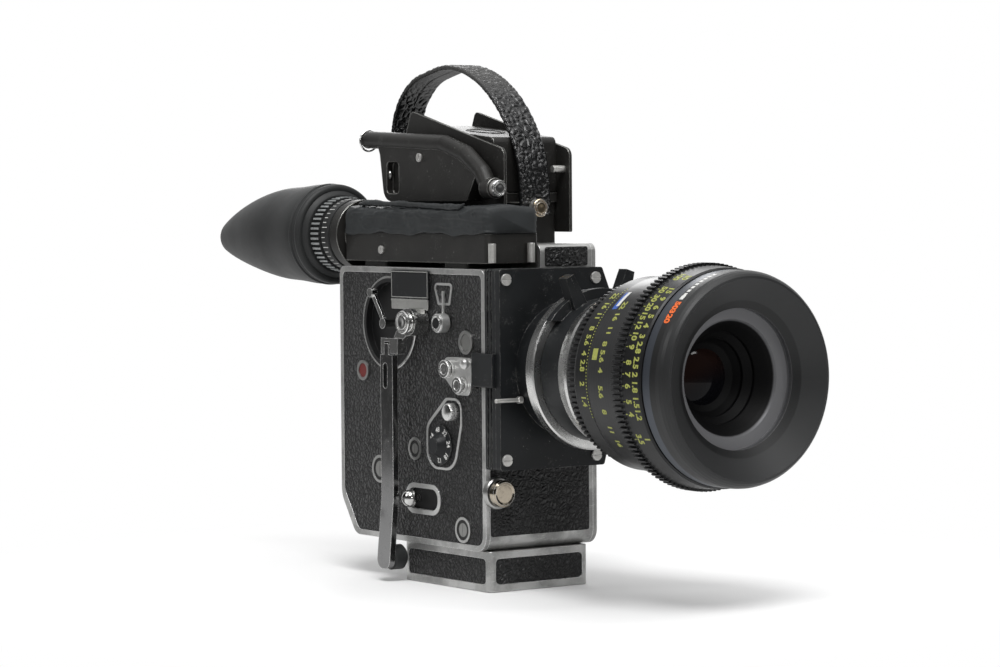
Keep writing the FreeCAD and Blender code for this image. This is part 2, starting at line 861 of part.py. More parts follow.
def make_crank():
    """The winding crank: a hub with a knuckle, the long arm that hangs from it and the grip at its end."""
    gap = size.fit_gap
    inner = leather_x - size.crank_gap
    outer = inner - size.crank_arm_thickness
    y, z = size.crank_y, size.crank_z
    knuckle_y, knuckle_z = y + 15.5, z - 16.5
    arm_y = knuckle_y + 3.4
    tab = 2.4
    half = size.crank_arm_width / 2
    ear_low, ear_high = knuckle_y - 8.5, arm_y + half
    hub_r = size.crank_hub_radius
    hub_profile = [
        (0, -(size.wall * 2 + 1)),
        (hub_r, -(size.wall * 2 + 1)),
        (hub_r, -(size.wall + 1.5)),
        (size.shaft_radius + 2, -(size.wall + 1.5)),
        (size.shaft_radius + 2, size.rim_height + gap),
        (hub_r, size.rim_height + gap),
        (hub_r, leather_x - outer - 3.5),
        (hub_r - 2.6, leather_x - outer - 3.5),
        (hub_r - 3.2, leather_x - outer - 1),
        (0, leather_x - outer - 1),
    ]
    hub = turned("crank_hub_turned", hub_profile, leather_x, y, z, "-x")
    neck = new_body("crank_neck")
    outline = [
        (y - 7.4, z - 2, 2),
        (ear_low, knuckle_z + 5, 1),
        (ear_low, knuckle_z - 4, 1),
        (arm_y - tab - gap, knuckle_z - 4, 1),
        (arm_y - tab - gap, knuckle_z + 7, 1),
        (y + 7.2, z + 3, 2),
    ]
    pad(neck, SIDE, outline, inner + gap, inner + 3.2)
    low, high = knuckle_z - 4, knuckle_z + 4
    near_ear = block("crank_ear_near", outer + 0.6, inner + 2, ear_low, arm_y - tab - gap, low, high)
    far_low = arm_y + tab + gap
    far_ear = block("crank_ear_far", outer + 0.6, inner + 2, far_low, ear_high, low, high)
    bridge_z = knuckle_z + 3.7
    bridge = block("crank_bridge", outer + 0.6, inner + 2, ear_low, ear_high, bridge_z, bridge_z + 2.3)
    middle = (inner + outer) / 2
    pin = rod("crank_pin", 1.3, ear_high - ear_low - 1, middle, ear_low + 0.5, knuckle_z, "+y")
    node(fuse("crank_hub_body", hub, neck, near_ear, far_ear, bridge, pin), "crank_hub")

    tip_y, tip_z = arm_y + size.crank_lean, z - size.crank_drop
    arm = new_body("crank_arm_body")
    outline = [
        (arm_y - tab, knuckle_z + 2.6, 1),
        (arm_y - tab, knuckle_z - 4.4),
        (arm_y - half, knuckle_z - 4.4 - gap),
        (arm_y - half, knuckle_z - 96, 20),
        (tip_y - half - 0.4, tip_z, half * 0.9),
        (tip_y + half + 0.4, tip_z, half * 0.9),
        (arm_y + half, knuckle_z - 96, 20),
        (arm_y + half, knuckle_z - 4.4 - gap),
        (arm_y + tab, knuckle_z - 4.4),
        (arm_y + tab, knuckle_z + 2.6, 1),
    ]
    window = rect(arm_y - 0.9, knuckle_z - 26, arm_y + 3.9, knuckle_z - 10, 2.3)
    pad(arm, SIDE, [outline, window], outer, inner)
    hole_r = 1.3 + size.run_gap
    pin_hole = rod("crank_pin_hole", hole_r, tab * 2 + 2, middle, arm_y - tab - 1, knuckle_z, "+y")
    grip_z = tip_z + size.grip_radius - 1
    grip_y = tip_y - 1
    stud = rod("grip_stud", 2.5, leather_x - inner - 1.3, inner, grip_y, grip_z, "+x")
    shaped = cut("crank_arm_cut", arm, pin_hole)
    node(fuse("crank_arm_all", shaped, stud), "crank_arm")
    grip = size.grip_radius
    depth = leather_x - inner - 1
    profile = [
        (2.5 + size.run_gap, gap),
        (grip - 0.6, gap),
        (grip, 1),
        (grip, depth - 1.2),
        (grip - 1.2, depth),
        (2.5 + size.run_gap, depth),
    ]
    node(turned("crank_grip_body", profile, inner, grip_y, grip_z, "+x"), "crank_grip")


def make_button():
    reach = size.button_reach
    r = size.button_radius
    profile = [
        (0, -size.wall - 3),
        (size.shaft_radius, -size.wall - 3),
        (size.shaft_radius, 5.0),
        (r, 5.0),
        (r, reach - 1),
        (r - 1.2, reach),
        (r - 2.6, reach - 0.5),
        (0, reach - 0.5),
    ]
    button = turned("release_button_body", profile, size.button_x, front_y, size.button_z, "-y")
    node(button, "release_button")


# The front: a deep block, the plate on it with its round boss, and the lens mount
skin_y = front_y
block_y = skin_y - size.block_thickness
plate_y = block_y - size.plate_thickness
adapter_y = plate_y - size.adapter_length
ring_y = adapter_y - size.mount_ring_length
lock_y = ring_y - size.lock_ring_length
flange_y = lock_y - size.flange_length
plate_top = size.plate_bottom + size.plate_height


def plate_outline(grow=0):
    """The front plate's outline, with its right corners cut off."""
    left, right = crank_x - grow, casting_right + size.door_thickness + grow
    low, high = size.plate_bottom - grow, plate_top + grow
    return [
        (left, low, 2),
        (right - 6, low, 2),
        (right, low + 22, 3),
        (right, high - 17, 3),
        (right - 7, high, 2),
        (left, high, 2),
    ]


def make_front():
    front_block = new_body("turret_block_body")
    pad(front_block, FRONT, plate_outline(), block_y, skin_y)
    for step in (2.4, 6.0):
        groove = [plate_outline(2), plate_outline(-0.9)]
        pocket(front_block, FRONT, groove, skin_y - step - 1.6, skin_y - step)
    hollow = circle(size.shutter_x, size.shutter_z, size.shutter_radius + 2)
    pocket(front_block, FRONT, hollow, block_y, block_y + 7)
    pocket(front_block, FRONT, circle(lens_x, lens_z, size.film_width / 2 + 1), block_y, skin_y)
    shaft_hole = circle(size.shutter_x, size.shutter_z, size.shaft_radius + size.run_gap)
    pocket(front_block, FRONT, shaft_hole, block_y, skin_y)
    tongue = new_body("turret_tongue")
    low, high = lens_z - size.tongue_height / 2, lens_z + size.tongue_height / 2
    shape = rect(crank_x - size.tongue_rise, low, crank_x - size.fit_gap, high, 1)
    pad(tongue, FRONT, shape, block_y, skin_y + size.tongue_length)
    web = block("turret_web", crank_x - 1.5, crank_x + 2, block_y, skin_y - 8, low, high)
    node(fuse("turret_block_all", front_block, tongue, web), "turret_block")

    plate = new_body("mount_plate_body")
    aperture = rect(lens_x - 7, lens_z - 5.5, lens_x + 7, lens_z + 5.5, 1)
    pad(plate, FRONT, [plate_outline(), aperture], plate_y, block_y)
    ring = [circle(lens_x, lens_z, size.adapter_radius), circle(lens_x, lens_z, size.mount_bore)]
    pad(plate, FRONT, ring, adapter_y, plate_y)
    node(plate, "mount_plate")

    screws = []
    margin = 6.5
    right = casting_right + size.door_thickness
    for index, (x, z) in enumerate(
        (
            (crank_x + margin - 2, plate_top - margin),
            (right - margin - 6, plate_top - margin),
            (crank_x + margin - 2, size.plate_bottom + margin),
            (right - margin - 6, size.plate_bottom + margin),
        )
    ):
        head = disc("plate_screw_head_%d" % index, 3.6, 0, 1.4, x, plate_y, z, "-y")
        slot_name = "plate_screw_slot_%d" % index
        slot = block(slot_name, x - 4, x + 4, plate_y - 2, plate_y - 0.8, z - 0.4, z + 0.4)
        screws.append(cut("plate_screw_%d" % index, head, slot))
    pin_z = lens_z - 18
    reach = 18.0
    edge = lens_x - size.adapter_radius * math.sqrt(1 - (reach / size.adapter_radius.value) ** 2)
    pin = fuse(
        "locating_pin",
        rod("locating_pin_rod", 1.3, 18, edge - 21, plate_y - 2.2, pin_z, "+x"),
        rod("locating_pin_head", 2.2, 3, edge - 4.4, plate_y - 2.2, pin_z, "+x"),
    )
    screws.append(pin)
    group("plate_fasteners", *screws)

    mount = [
        (size.mount_bore, 0),
        (size.mount_ring_radius, 0),
        (size.mount_ring_radius, size.mount_ring_length - 1),
        (size.mount_ring_radius - 1, size.mount_ring_length - 0.4),
        (size.lock_ring_radius - 1, size.mount_ring_length),
        (size.mount_bore, size.mount_ring_length),
    ]
    node(turned("mount_ring_body", mount, lens_x, adapter_y, lens_z, "-y"), "mount_ring")

    gap = size.fit_gap
    r = size.lock_ring_radius
    lock = new_body("lock_ring_body")
    bore = size.mount_bore + 2
    ring = [circle(0, 0, r), circle(0, 0, bore + size.run_gap)]
    pad(lock, FRONT, ring, -(size.lock_ring_length - gap), -gap)
    wide = size.mount_ring_radius + 1
    spread = math.radians(52)
    crescent = new_body("lock_crescent")
    pad(crescent, FRONT, [circle(0, 0, wide), circle(0, 0, r - 1)], -(gap + 5), -gap)
    low_v = wide * math.cos(spread)
    pocket(crescent, FRONT, rect(-wide - 2, -wide - 2, wide + 2, low_v), -(gap + 6), 0)
    ears = [crescent]
    for index, lean in enumerate((-25, 18)):
        angle = math.radians(lean)
        c, s = math.cos(angle), math.sin(angle)
        low, high, half = r - 1, r + size.lock_ear_reach, size.lock_ear_half
        corners = []
        for out, side in ((low, -half), (low, half), (high, half * 0.6), (high, -half * 0.6)):
            corners.append((out * s + side * c, out * c - side * s))
        ear = new_body("lock_ear_%d" % index)
        pad(ear, FRONT, corners, -(gap + 8), -gap)
        ears.append(ear)
    whole = fuse("lock_ring_all", lock, *ears)
    node(place(whole, lens_x, ring_y, lens_z), "lock_ring")


def toothed_ring(label, profile, tip, low):
    """A lens ring turned from its profile, with a row of drive teeth round it."""
    body = turned(label + "_body", profile)
    root = tip - size.tooth_depth
    count = round(2 * math.pi * tip.value / size.tooth_pitch.value)
    corners = [(root - 0.5, -0.95), (tip, -0.6), (tip, 0.6), (root - 0.5, 0.95)]
    teeth(body, TOP, "Z_Axis", count, corners, low, low + size.tooth_width)
    node(place(body, lens_x, lock_y, lens_z, "-y"), label)


def make_iris_ring(start, end):
    gap = size.fit_gap
    low, high = start + gap / 2, end - gap / 2
    inner, wall = size.core_radius + size.run_gap, size.ring_wall
    root, band = size.iris_tooth_radius - size.tooth_depth, size.iris_band_radius
    tooth_low = low + 8
    tooth_high = tooth_low + size.tooth_width
    web = low + 6
    profile = [
        (inner, low),
        (size.flange_radius + 0.4, low),
        (root, tooth_low - 0.4),
        (root, tooth_high + 0.6),
        (band - 0.8, tooth_high + 2.6),
        (band, tooth_high + 4.6),
        (band, high),
        (band - wall, high),
        (band - wall, tooth_high + 6),
        (root - wall, tooth_high + 0.6),
        (root - wall, web),
        (inner, web),
    ]
    toothed_ring("iris_ring", profile, size.iris_tooth_radius, tooth_low)


def make_index_sleeve(start, end):
    gap = size.fit_gap
    low, high = start + gap / 2, end - gap / 2
    rear, wall = size.iris_band_radius, size.ring_wall
    profile = [
        (size.core_radius, low),
        (rear, low),
        (rear + 0.7, low + 1.6),
        (size.sleeve_radius, high - 1.2),
        (size.sleeve_radius - 0.6, high),
        (size.sleeve_radius - wall, high),
        (rear - wall, low + wall),
        (size.core_radius, low + wall),
    ]
    node(turned("index_sleeve_body", profile, lens_x, lock_y, lens_z, "-y"), "index_sleeve")


def make_focus_ring(start, end):
    gap = size.fit_gap
    low, high = start + gap / 2, end - gap / 2
    inner, wall = size.core_radius + size.core_step + size.run_gap, size.ring_wall
    root = size.focus_tooth_radius - size.tooth_depth
    band = size.focus_tooth_radius - size.focus_band_step
    tooth_low = low + 3.8
    tooth_high = tooth_low + size.tooth_width
    web = low + 6
    profile = [
        (inner, low),
        (size.sleeve_radius + 0.4, low),
        (root, tooth_low - 0.4),
        (root, tooth_high),
        (band, tooth_high + 0.8),
        (size.front_radius + 1.2, high - 1),
        (size.front_radius + 0.2, high),
        (size.front_radius - wall, high),
        (root - wall, tooth_high + 1),
        (root - wall, web),
        (inner, web),
    ]
    toothed_ring("focus_ring", profile, size.focus_tooth_radius, tooth_low)


def make_lens():
    """The lens: flange, core, two toothed rings with a fixed sleeve between, and the wide front."""
    core, bore = size.core_radius, size.core_bore
    wide, wide_bore = core + size.core_step, bore + size.core_step
    gap = size.fit_gap
    iris_end = size.flange_length + size.iris_ring_length
    sleeve_end = iris_end + size.sleeve_length
    focus_end = sleeve_end + size.focus_ring_length
    inner_bore = size.mount_bore + 2
    flange = [
        (bore, -size.lock_ring_length),
        (inner_bore, -size.lock_ring_length),
        (inner_bore, gap),
        (size.flange_rear_radius - 1, gap),
        (size.flange_rear_radius, 1.5),
        (size.flange_radius, size.flange_length - 3),
        (size.flange_radius, size.flange_length - gap),
        (bore, size.flange_length - gap),
    ]
    node(turned("lens_flange_body", flange, lens_x, lock_y, lens_z, "-y"), "lens_flange")
    step = iris_end + gap / 2 + size.ring_wall
    tube_profile = [
        (bore, size.flange_length - gap),
        (core, size.flange_length - gap),
        (core, step),
        (wide, step),
        (wide, focus_end),
        (wide_bore, focus_end),
        (wide_bore, step + size.front_wall),
        (bore, step + size.front_wall),
    ]
    node(turned("lens_core_body", tube_profile, lens_x, lock_y, lens_z, "-y"), "lens_core")
    make_iris_ring(size.flange_length, iris_end)
    make_index_sleeve(iris_end, sleeve_end)
    make_focus_ring(sleeve_end, focus_end)

    band_end = focus_end + size.front_band
    front_end = band_end + size.rim_length
    opening_depth = front_end - size.face_depth
    shell = size.front_wall
    rim_width, steps = size.front_radius - size.crest_radius, 5
    rim = []
    for index in range(steps + 1):
        angle = math.pi / 2 * index / steps
        across, along = rim_width * math.cos(angle), size.rim_length * math.sin(angle)
        rim.append((size.crest_radius + across, band_end + along))
    front = [
        (wide_bore, focus_end),
        (size.front_radius - 0.8, focus_end + gap),
        (size.front_radius, focus_end + gap + 0.8),
        *rim,
        (size.front_opening, opening_depth),
        (size.front_opening, opening_depth - shell),
        (size.crest_radius - shell, front_end - shell * 1.8),
        (size.front_radius - shell, band_end),
        (size.front_radius - shell, focus_end + shell),
        (wide_bore, focus_end + shell),
    ]
    node(turned("front_ring_body", front, lens_x, lock_y, lens_z, "-y"), "front_ring")

    hood_start = opening_depth - size.hood_depth
    hood_back = hood_start - size.hood_length
    outer = size.front_opening
    skin = 2.2
    end = size.hood_end_radius
    hood = [
        (outer, opening_depth - shell - gap / 3),
        (outer + 3, opening_depth - shell - gap / 3),
        (outer + 3, opening_depth - shell - skin),
        (size.hood_radius + 5, hood_start),
        (size.hood_radius + 2, hood_start - skin),
        (end + 9, hood_back + 14 - skin),
        (end + 9, hood_back + 10),
        (wide_bore - gap / 3, hood_back + 2),
        (wide_bore - gap / 3, hood_back - 3),
        (size.glass_radius - 2, hood_back - 3),
        (size.glass_radius - 2, hood_back - 1),
        (end, hood_back + 2),
        (end + 3, hood_back + 6),
        (end + 3, hood_back + 8),
        (end + 7, hood_back + 12),
        (end + 7, hood_back + 14),
        (size.hood_radius, hood_start),
        (size.hood_radius + 3, hood_start + 4),
        (outer, hood_start + 6),
    ]
    node(turned("hood_rings_body", hood, lens_x, lock_y, lens_z, "-y"), "hood_rings")
    glass_back = hood_back - 3 - gap / 3
    glass_low = glass_back - 5
    glass_r = wide_bore - gap
    front_glass = disc("glass_front", glass_r, glass_low, glass_back, lens_x, lock_y, lens_z, "-y")
    rear_glass = disc("glass_rear", bore - gap, 2, 8, lens_x, lock_y, lens_z, "-y")
    group("lens_glass", front_glass, rear_glass, reflex_prism())
    blades = []
    count = 8
    for index in range(count):
        blade = new_body("iris_blade_%d" % index)
        outline = iris_blade_outline(index, count, wide_bore - gap)
        pad(blade, FRONT, outline, -(sleeve_end - 2.4), -(sleeve_end - 3))
        blades.append(place(blade, lens_x, lock_y, lens_z))
    group("iris_blades", *blades)


def reflex_prism():
    """The block of glass behind the lens that splits light off to the finder."""
    prism = new_body("reflex_prism_body")
    low_y = plate_y - 15
    outline = [
        (low_y, lens_z - 7.5),
        (plate_y, lens_z - 7.5),
        (plate_y, lens_z + 7.5),
        (low_y + 3, lens_z + 7.5),
        (low_y, lens_z + 4),
    ]
    pad(prism, SIDE, outline, lens_x - 8, lens_x + 8)
    return prism


def iris_blade_outline(index, count, reach):
    """One leaf of the aperture: a slanted strip that runs past the opening to the next leaf."""
    step = 2 * math.pi / count
    turn = step * index
    lean, margin = 0.9, 0.012
    corners = []
    for angle, radius in (
        (margin, size.iris_opening),
        (step - margin, size.iris_opening),
        (step + lean - margin / 3, reach),
        (lean + margin / 3, reach),
    ):
        corners.append((math.cos(turn + angle) * radius, math.sin(turn + angle) * radius))
    return corners


def make_drive():
    """The spring barrel with its gear, and the sprocket shafts that mesh with it."""
    module = size.gear_module
    barrel_pitch, pinion_pitch = gear_pitch(GEAR_TEETH), gear_pitch(PINION_TEETH)
    gear_right = partition_left - 1.4
    gear_left = gear_right - 3.5
    barrel_left = casting_left + 8.2
    barrel = new_body("spring_barrel_body")
    root = barrel_pitch - 1.2 * module
    pad(barrel, SIDE, circle(0, 0, root - 0.8), barrel_left, gear_left)
    pad(barrel, SIDE, circle(0, 0, root), gear_left, gear_right)
    pad(barrel, SIDE, circle(0, 0, 3.5), barrel_left - 2, partition_left - size.fit_gap)
    corners = tooth_corners(root, barrel_pitch, barrel_pitch + 0.9 * module, module)
    teeth(barrel, SIDE, "X_Axis", GEAR_TEETH, corners, gear_left, gear_right)
    upper_line = math.pi - MESH_ANGLE
    phase = math.degrees(upper_line)
    turn = FreeCAD.Rotation(V(1, 0, 0), phase)
    node(place(barrel, 0, size.barrel_y, size.barrel_z, turn), "spring_barrel")

    lower_line = math.pi + MESH_ANGLE
    pitch_step = 2 * math.pi / GEAR_TEETH
    slip = (lower_line - upper_line) % pitch_step
    for label, up, line, late in (
        ("upper_sprocket", 1, upper_line, 0.0),
        ("lower_sprocket", -1, lower_line, slip),
    ):
        y, z = sprocket_place(up)
        body = new_body(label + "_body")
        pinion_root = pinion_pitch - 1.2 * module
        pad(body, SIDE, circle(0, 0, size.shaft_radius), gear_left - 2, lens_x + size.film_width / 2)
        pad(body, SIDE, circle(0, 0, pinion_root), gear_left, gear_right)
        drum = size.sprocket_radius
        for low in (film_left - 0.6, film_left + size.film_width - 2.6):
            pad(body, SIDE, circle(0, 0, drum), low, low + 3.2)
        pad(body, SIDE, circle(0, 0, drum - 2), film_left - 0.6, film_left + size.film_width + 0.6)
        corners = tooth_corners(pinion_root, pinion_pitch, pinion_pitch + 0.9 * module, module)
        teeth(body, SIDE, "X_Axis", PINION_TEETH, corners, gear_left, gear_right)
        facing = line + math.pi + late * GEAR_TEETH / PINION_TEETH
        degrees = math.degrees(facing) + 180.0 / PINION_TEETH
        node(place(body, 0, y, z, FreeCAD.Rotation(V(1, 0, 0), degrees)), label)

    for label, up in (("supply_spool", 1), ("takeup_spool", -1)):
        y, z = spool_place(up)
        width = size.film_width + 2 * size.fit_gap
        flange = size.spool_flange
        start = film_left - size.fit_gap - flange
        profile = [
            (0, gear_left),
            (size.shaft_radius, gear_left),
            (size.shaft_radius, start),
            (size.spool_radius, start),
            (size.spool_radius, start + flange),
            (size.hub_radius, start + flange),
            (size.hub_radius, start + flange + width),
            (size.spool_radius, start + flange + width),
            (size.spool_radius, start + 2 * flange + width),
            (size.hub_radius / 2, start + 2 * flange + width),
            (size.hub_radius / 2, start + 2 * flange + width + 6),
            (0, start + 2 * flange + width + 6),
        ]
        node(turned(label + "_body", profile, 0, y, z, "+x"), label)


def make_gate():
    inner_y = front_y + size.wall
    gate = new_body("gate_plate_body")
    left, right = partition_right + 0.2, lens_x + size.film_width / 2 + 2
    low, high = lens_z - 22, lens_z + 20
    aperture = rect(lens_x - 6.2, lens_z - 3.7, lens_x + 6.2, lens_z + 3.7, 0.4)
    pad(gate, FRONT, [rect(left, low, right, high, 2), aperture], inner_y, inner_y + size.gate_thickness)
    node(gate, "gate_plate")

    plate_back = inner_y + size.gate_thickness + size.fit_gap
    pressure = new_body("pressure_plate_body")
    shape = rect(film_left - 0.5, low + 4, film_left + size.film_width + 0.5, high - 4, 2)
    pad(pressure, FRONT, shape, plate_back, plate_back + 2.2)
    pad(pressure, FRONT, circle(lens_x, lens_z, 2.5), plate_back + 2.2, plate_back + 12)
    node(pressure, "pressure_plate")

    claw = new_body("claw_body")
    edge = lens_x + size.film_width / 2 + 1 + size.fit_gap
    outline = [
        (plate_back - size.fit_gap * 0.5, lens_z + 8),
        (plate_back + 14, lens_z + 8, 2),
        (plate_back + 14, lens_z - 8, 2),
        (plate_back + 8, lens_z - 8, 1),
        (plate_back + 8, lens_z + 3, 1),
        (plate_back - size.fit_gap * 0.5, lens_z + 5.4),
    ]
    pad(claw, SIDE, outline, edge, edge + 2)
    node(claw, "claw")

    shutter = new_body("shutter_disc_body")
    disc_y = block_y + 2.5
    r = size.shutter_radius
    window = [
        (size.shutter_x + 6, size.shutter_z - 3),
        (size.shutter_x + 24, size.shutter_z - 12, 2),
        (size.shutter_x + 24, size.shutter_z + 12, 2),
        (size.shutter_x + 10, size.shutter_z + 22, 2),
        (size.shutter_x + 2, size.shutter_z + 6),
    ]
    pad(shutter, FRONT, [circle(size.shutter_x, size.shutter_z, r), window], disc_y, disc_y + 1)
    pad(shutter, FRONT, circle(size.shutter_x, size.shutter_z, 5), disc_y - 1.4, disc_y + 2.4)
    pad(shutter, FRONT, circle(size.shutter_x, size.shutter_z, size.shaft_radius), disc_y, front_y + 16)
    node(shutter, "shutter_disc")


# The finder on top of the crank side
finder_z = crank_top + size.finder_gap
finder_left = casting_left
finder_right = partition_left - size.fit_gap
finder_front = front_y + 1
finder_back = rear_y - size.finder_setback
finder_top = finder_z + size.finder_height


def make_finder():
    wall = size.finder_wall
    box = new_body("finder_box_body")
    outline = rect(finder_left, finder_front, finder_right, finder_back, 3)
    pad(box, TOP, outline, finder_z, finder_top)
    hollow = rect(finder_left + wall, finder_front + wall, finder_right - wall, finder_back - wall, 2)
    pocket(box, TOP, hollow, finder_z + wall, finder_top)
    for index, y in enumerate((finder_front + 24, finder_back - 46)):
        foot = rect(finder_left + 2, y, finder_right - 4, y + 26, 2)
        pad(box, TOP, foot, crank_top, finder_z + wall / 2)
    port = circle(size.eyepiece_x, size.eyepiece_z, size.eyepiece_radius - 4)
    pocket(box, FRONT, port, finder_back - wall, finder_back)
    node(box, "finder_box")

    cover = new_body("finder_cover_body")
    lap = 1.2
    gap = size.fit_gap
    rise = size.cover_rise
    outer = rect(finder_left - lap, finder_front - lap, finder_right, finder_back, 3.6)
    pad(cover, TOP, outer, finder_top + gap / 3, finder_top + rise)
    inner = rect(finder_left + 3, finder_front + 3, finder_right - 3, finder_back - 3, 2)
    pocket(cover, TOP, inner, finder_top + gap / 3, finder_top + rise - 3)
    ridge = rect(finder_left + 6, finder_front + 30, finder_right - 8, finder_back - 34, 4)
    pad(cover, TOP, ridge, finder_top + rise - 0.5, finder_top + rise + 2)
    node(cover, "finder_cover")

    x, z = size.eyepiece_x, size.eyepiece_z
    r = size.eyepiece_radius
    scale_end = size.scale_ring_length
    ring_end = scale_end + size.dioptre_length
    profile = [
        (r - 4, gap / 3),
        (r - 1, gap / 3),
        (r - 1, 2),
        (size.dioptre_radius - 2, 2),
        (size.dioptre_radius - 2, scale_end - 1),
        (size.dioptre_radius - 3, scale_end),
        (r, scale_end),
        (r, ring_end + 14),
        (r - 4, ring_end + 14),
    ]
    barrel = turned("eyepiece_tube_body", profile, x, finder_back, z, "+y")
    node(barrel, "eyepiece_tube")
    profile = [
        (r + size.run_gap, scale_end + gap),
        (size.dioptre_radius - 1, scale_end + gap),
        (size.dioptre_radius, scale_end + 1.5),
        (size.dioptre_radius, ring_end - 1.5),
        (size.dioptre_radius - 1, ring_end - gap),
        (r + size.run_gap, ring_end - gap),
    ]
    node(turned("dioptre_ring_body", profile, x, finder_back, z, "+y"), "dioptre_ring")
    make_eyecup(finder_back + ring_end)

    fittings = []
    post_z = finder_z + 0.5
    post_y = finder_front - 2.4 - gap / 3
    for index, post_x in enumerate((finder_left + 2, finder_right - 8)):
        fittings.append(disc("finder_post_%d" % index, 2.4, 0, 12, post_x, post_y, post_z))
    fittings.append(slotted_disc("finder_screw", 2.6, 1.2, finder_left, finder_back - 44, finder_z + 7.5))
    fittings.extend(make_saddle_screws())
    group("top_fittings", *fittings)


def oval(name, y, half_x, half_z, shift_x=0, shift_z=0):
    """One cross-section of the eyecup, square to Y."""
    section = doc.addObject("Part::Ellipse", name)
    wide, slim = (half_z, half_x) if half_z.value >= half_x.value else (half_x, half_z)
    bind(section, "MajorRadius", wide)
    bind(section, "MinorRadius", slim)
    upright = FreeCAD.Rotation(V(1, 0, 0), -90)
    if half_z.value >= half_x.value:
        upright = upright * FreeCAD.Rotation(V(0, 0, 1), 90)
    return place(section, size.eyepiece_x + shift_x, y, size.eyepiece_z + shift_z, upright)


def eyecup_shell(name, start, shrink):
    """A bell that swells behind its neck and tapers to a rounded tail."""
    r, run = size.eyecup_radius, size.eyecup_length
    stations = (
        (0.0, 0.80, 0.80, 0.0, 0.0),
        (0.05, 0.96, 0.97, 0.0, 0.0),
        (0.20, 1.0, 1.02, 0.0, 0.0),
        (0.45, 0.96, 0.96, 0.0, 0.0),
        (0.70, 0.82, 0.80, -0.04, -0.01),
        (0.90, 0.60, 0.56, -0.12, -0.05),
        (1.0, 0.42, 0.38, -0.20, -0.08),
    )
    sections = []
    for index, (along, wide, high, shift_x, shift_z) in enumerate(stations):
        y = start + run * along
        section = oval(
            "%s_%d" % (name, index), y, r * wide - shrink, r * high - shrink, r * shift_x, r * shift_z
        )
        sections.append(section)
    loft = doc.addObject("Part::Loft", name)
    loft.Sections = sections
    loft.Solid = True
    loft.Ruled = False
    return loft


def make_eyecup(start):
    """A rubber eyecup whose long side shields the temple and whose other side is cut back."""
    outer = eyecup_shell("eyecup_outer", start, ZERO)
    inner = eyecup_shell("eyecup_inner", start + size.eyecup_wall, size.eyecup_wall)
    r = size.eyecup_radius
    slice_box = doc.addObject("Part::Box", "eyecup_slice")
    bind(slice_box, "Length", r * 6)
    bind(slice_box, "Width", r * 6)
    bind(slice_box, "Height", r * 3)
    turn = FreeCAD.Rotation(V(0, 0, 1), -58)
    hinge_y = start + size.eyecup_length * 0.985
    place(slice_box, size.eyepiece_x - r * 0.52, hinge_y, size.eyepiece_z - r * 1.5, turn)
    neck = rod(
        "eyecup_neck_hole",
        size.eyepiece_radius + size.run_gap,
        size.eyecup_wall * 3,
        size.eyepiece_x,
        start - 1,
        size.eyepiece_z,
        "+y",
    )
    node(cut("eyecup_cut", outer, inner, slice_box, neck), "eyecup")


# The saddle over the film side: pedestal, guard plates, slanted cover, bracket with tube, strap
saddle_right = size.saddle_left + size.saddle_width
saddle_back = size.saddle_front + size.saddle_length


def slanted(front_height, rear_height, near, far, low, radius=6, slant=0):
    """A side outline whose top edge climbs towards the back."""
    return [
        (near, low, 1),
        (far, low, 1),
        (far, size.saddle_floor + rear_height * 0.55, 2),
        (far - slant, size.saddle_floor + rear_height, radius * 0.6),
        (near, size.saddle_floor + front_height, radius),
    ]


def make_saddle():
    gap = size.fit_gap
    slab_top = size.saddle_floor + size.saddle_slab
    inner_left = size.saddle_left + size.guard_thickness
    inner_right = saddle_right - size.guard_thickness
    base = new_body("saddle_base_body")
    near, far = size.saddle_front + 12, saddle_back - 8
    pad(base, TOP, rect(inner_left, near, inner_right, far, 2), size.saddle_floor, slab_top)
    foot = rect(partition_left + 1, near + 2, inner_right, far - 2, 3)
    pad(base, TOP, foot, film_top, size.saddle_floor)
    hollow = rect(partition_left + 5, near + 6, inner_right - 4, far - 6, 2)
    pocket(base, TOP, hollow, film_top, size.saddle_floor - 3)
    node(base, "saddle_base")

    guards = []
    front, rear, slant = size.guard_front_height, size.guard_rear_height, size.guard_rear_slant
    for index, left in enumerate((size.saddle_left, inner_right)):
        guard = new_body("guard_plate_%d" % index)
        low = size.saddle_floor - 1.5 if index == 0 else film_top + 7
        outline = slanted(front, rear, size.saddle_front, saddle_back, low, 6, slant)
        pad(guard, SIDE, outline, left, left + size.guard_thickness)
        guards.append(guard)
    group("guard_plates", *guards)

    cover = new_body("saddle_cover_body")
    front, rear = size.saddle_cover_front, size.saddle_cover_rear
    outline = slanted(front, rear, near + 2, far - 2, slab_top, 4, 3)
    pad(cover, SIDE, outline, inner_left + gap, inner_right - gap)
    node(cover, "saddle_cover")
    make_bracket()
    make_strap()


def leg(name, radius, start, end, x):
    """A round bar between two places of the side view, with a ball at its end."""
    run_y, run_z = end[0].value - start[0].value, end[1].value - start[1].value
    bar = rod(name, radius, math.hypot(run_y, run_z), x, start[0], start[1], "+y")
    bar.Placement.Rotation = FreeCAD.Rotation(V(0, 0, 1), V(0, run_y, run_z))
    return [bar, ball(name + "_end", radius, x, end[0], end[1])]


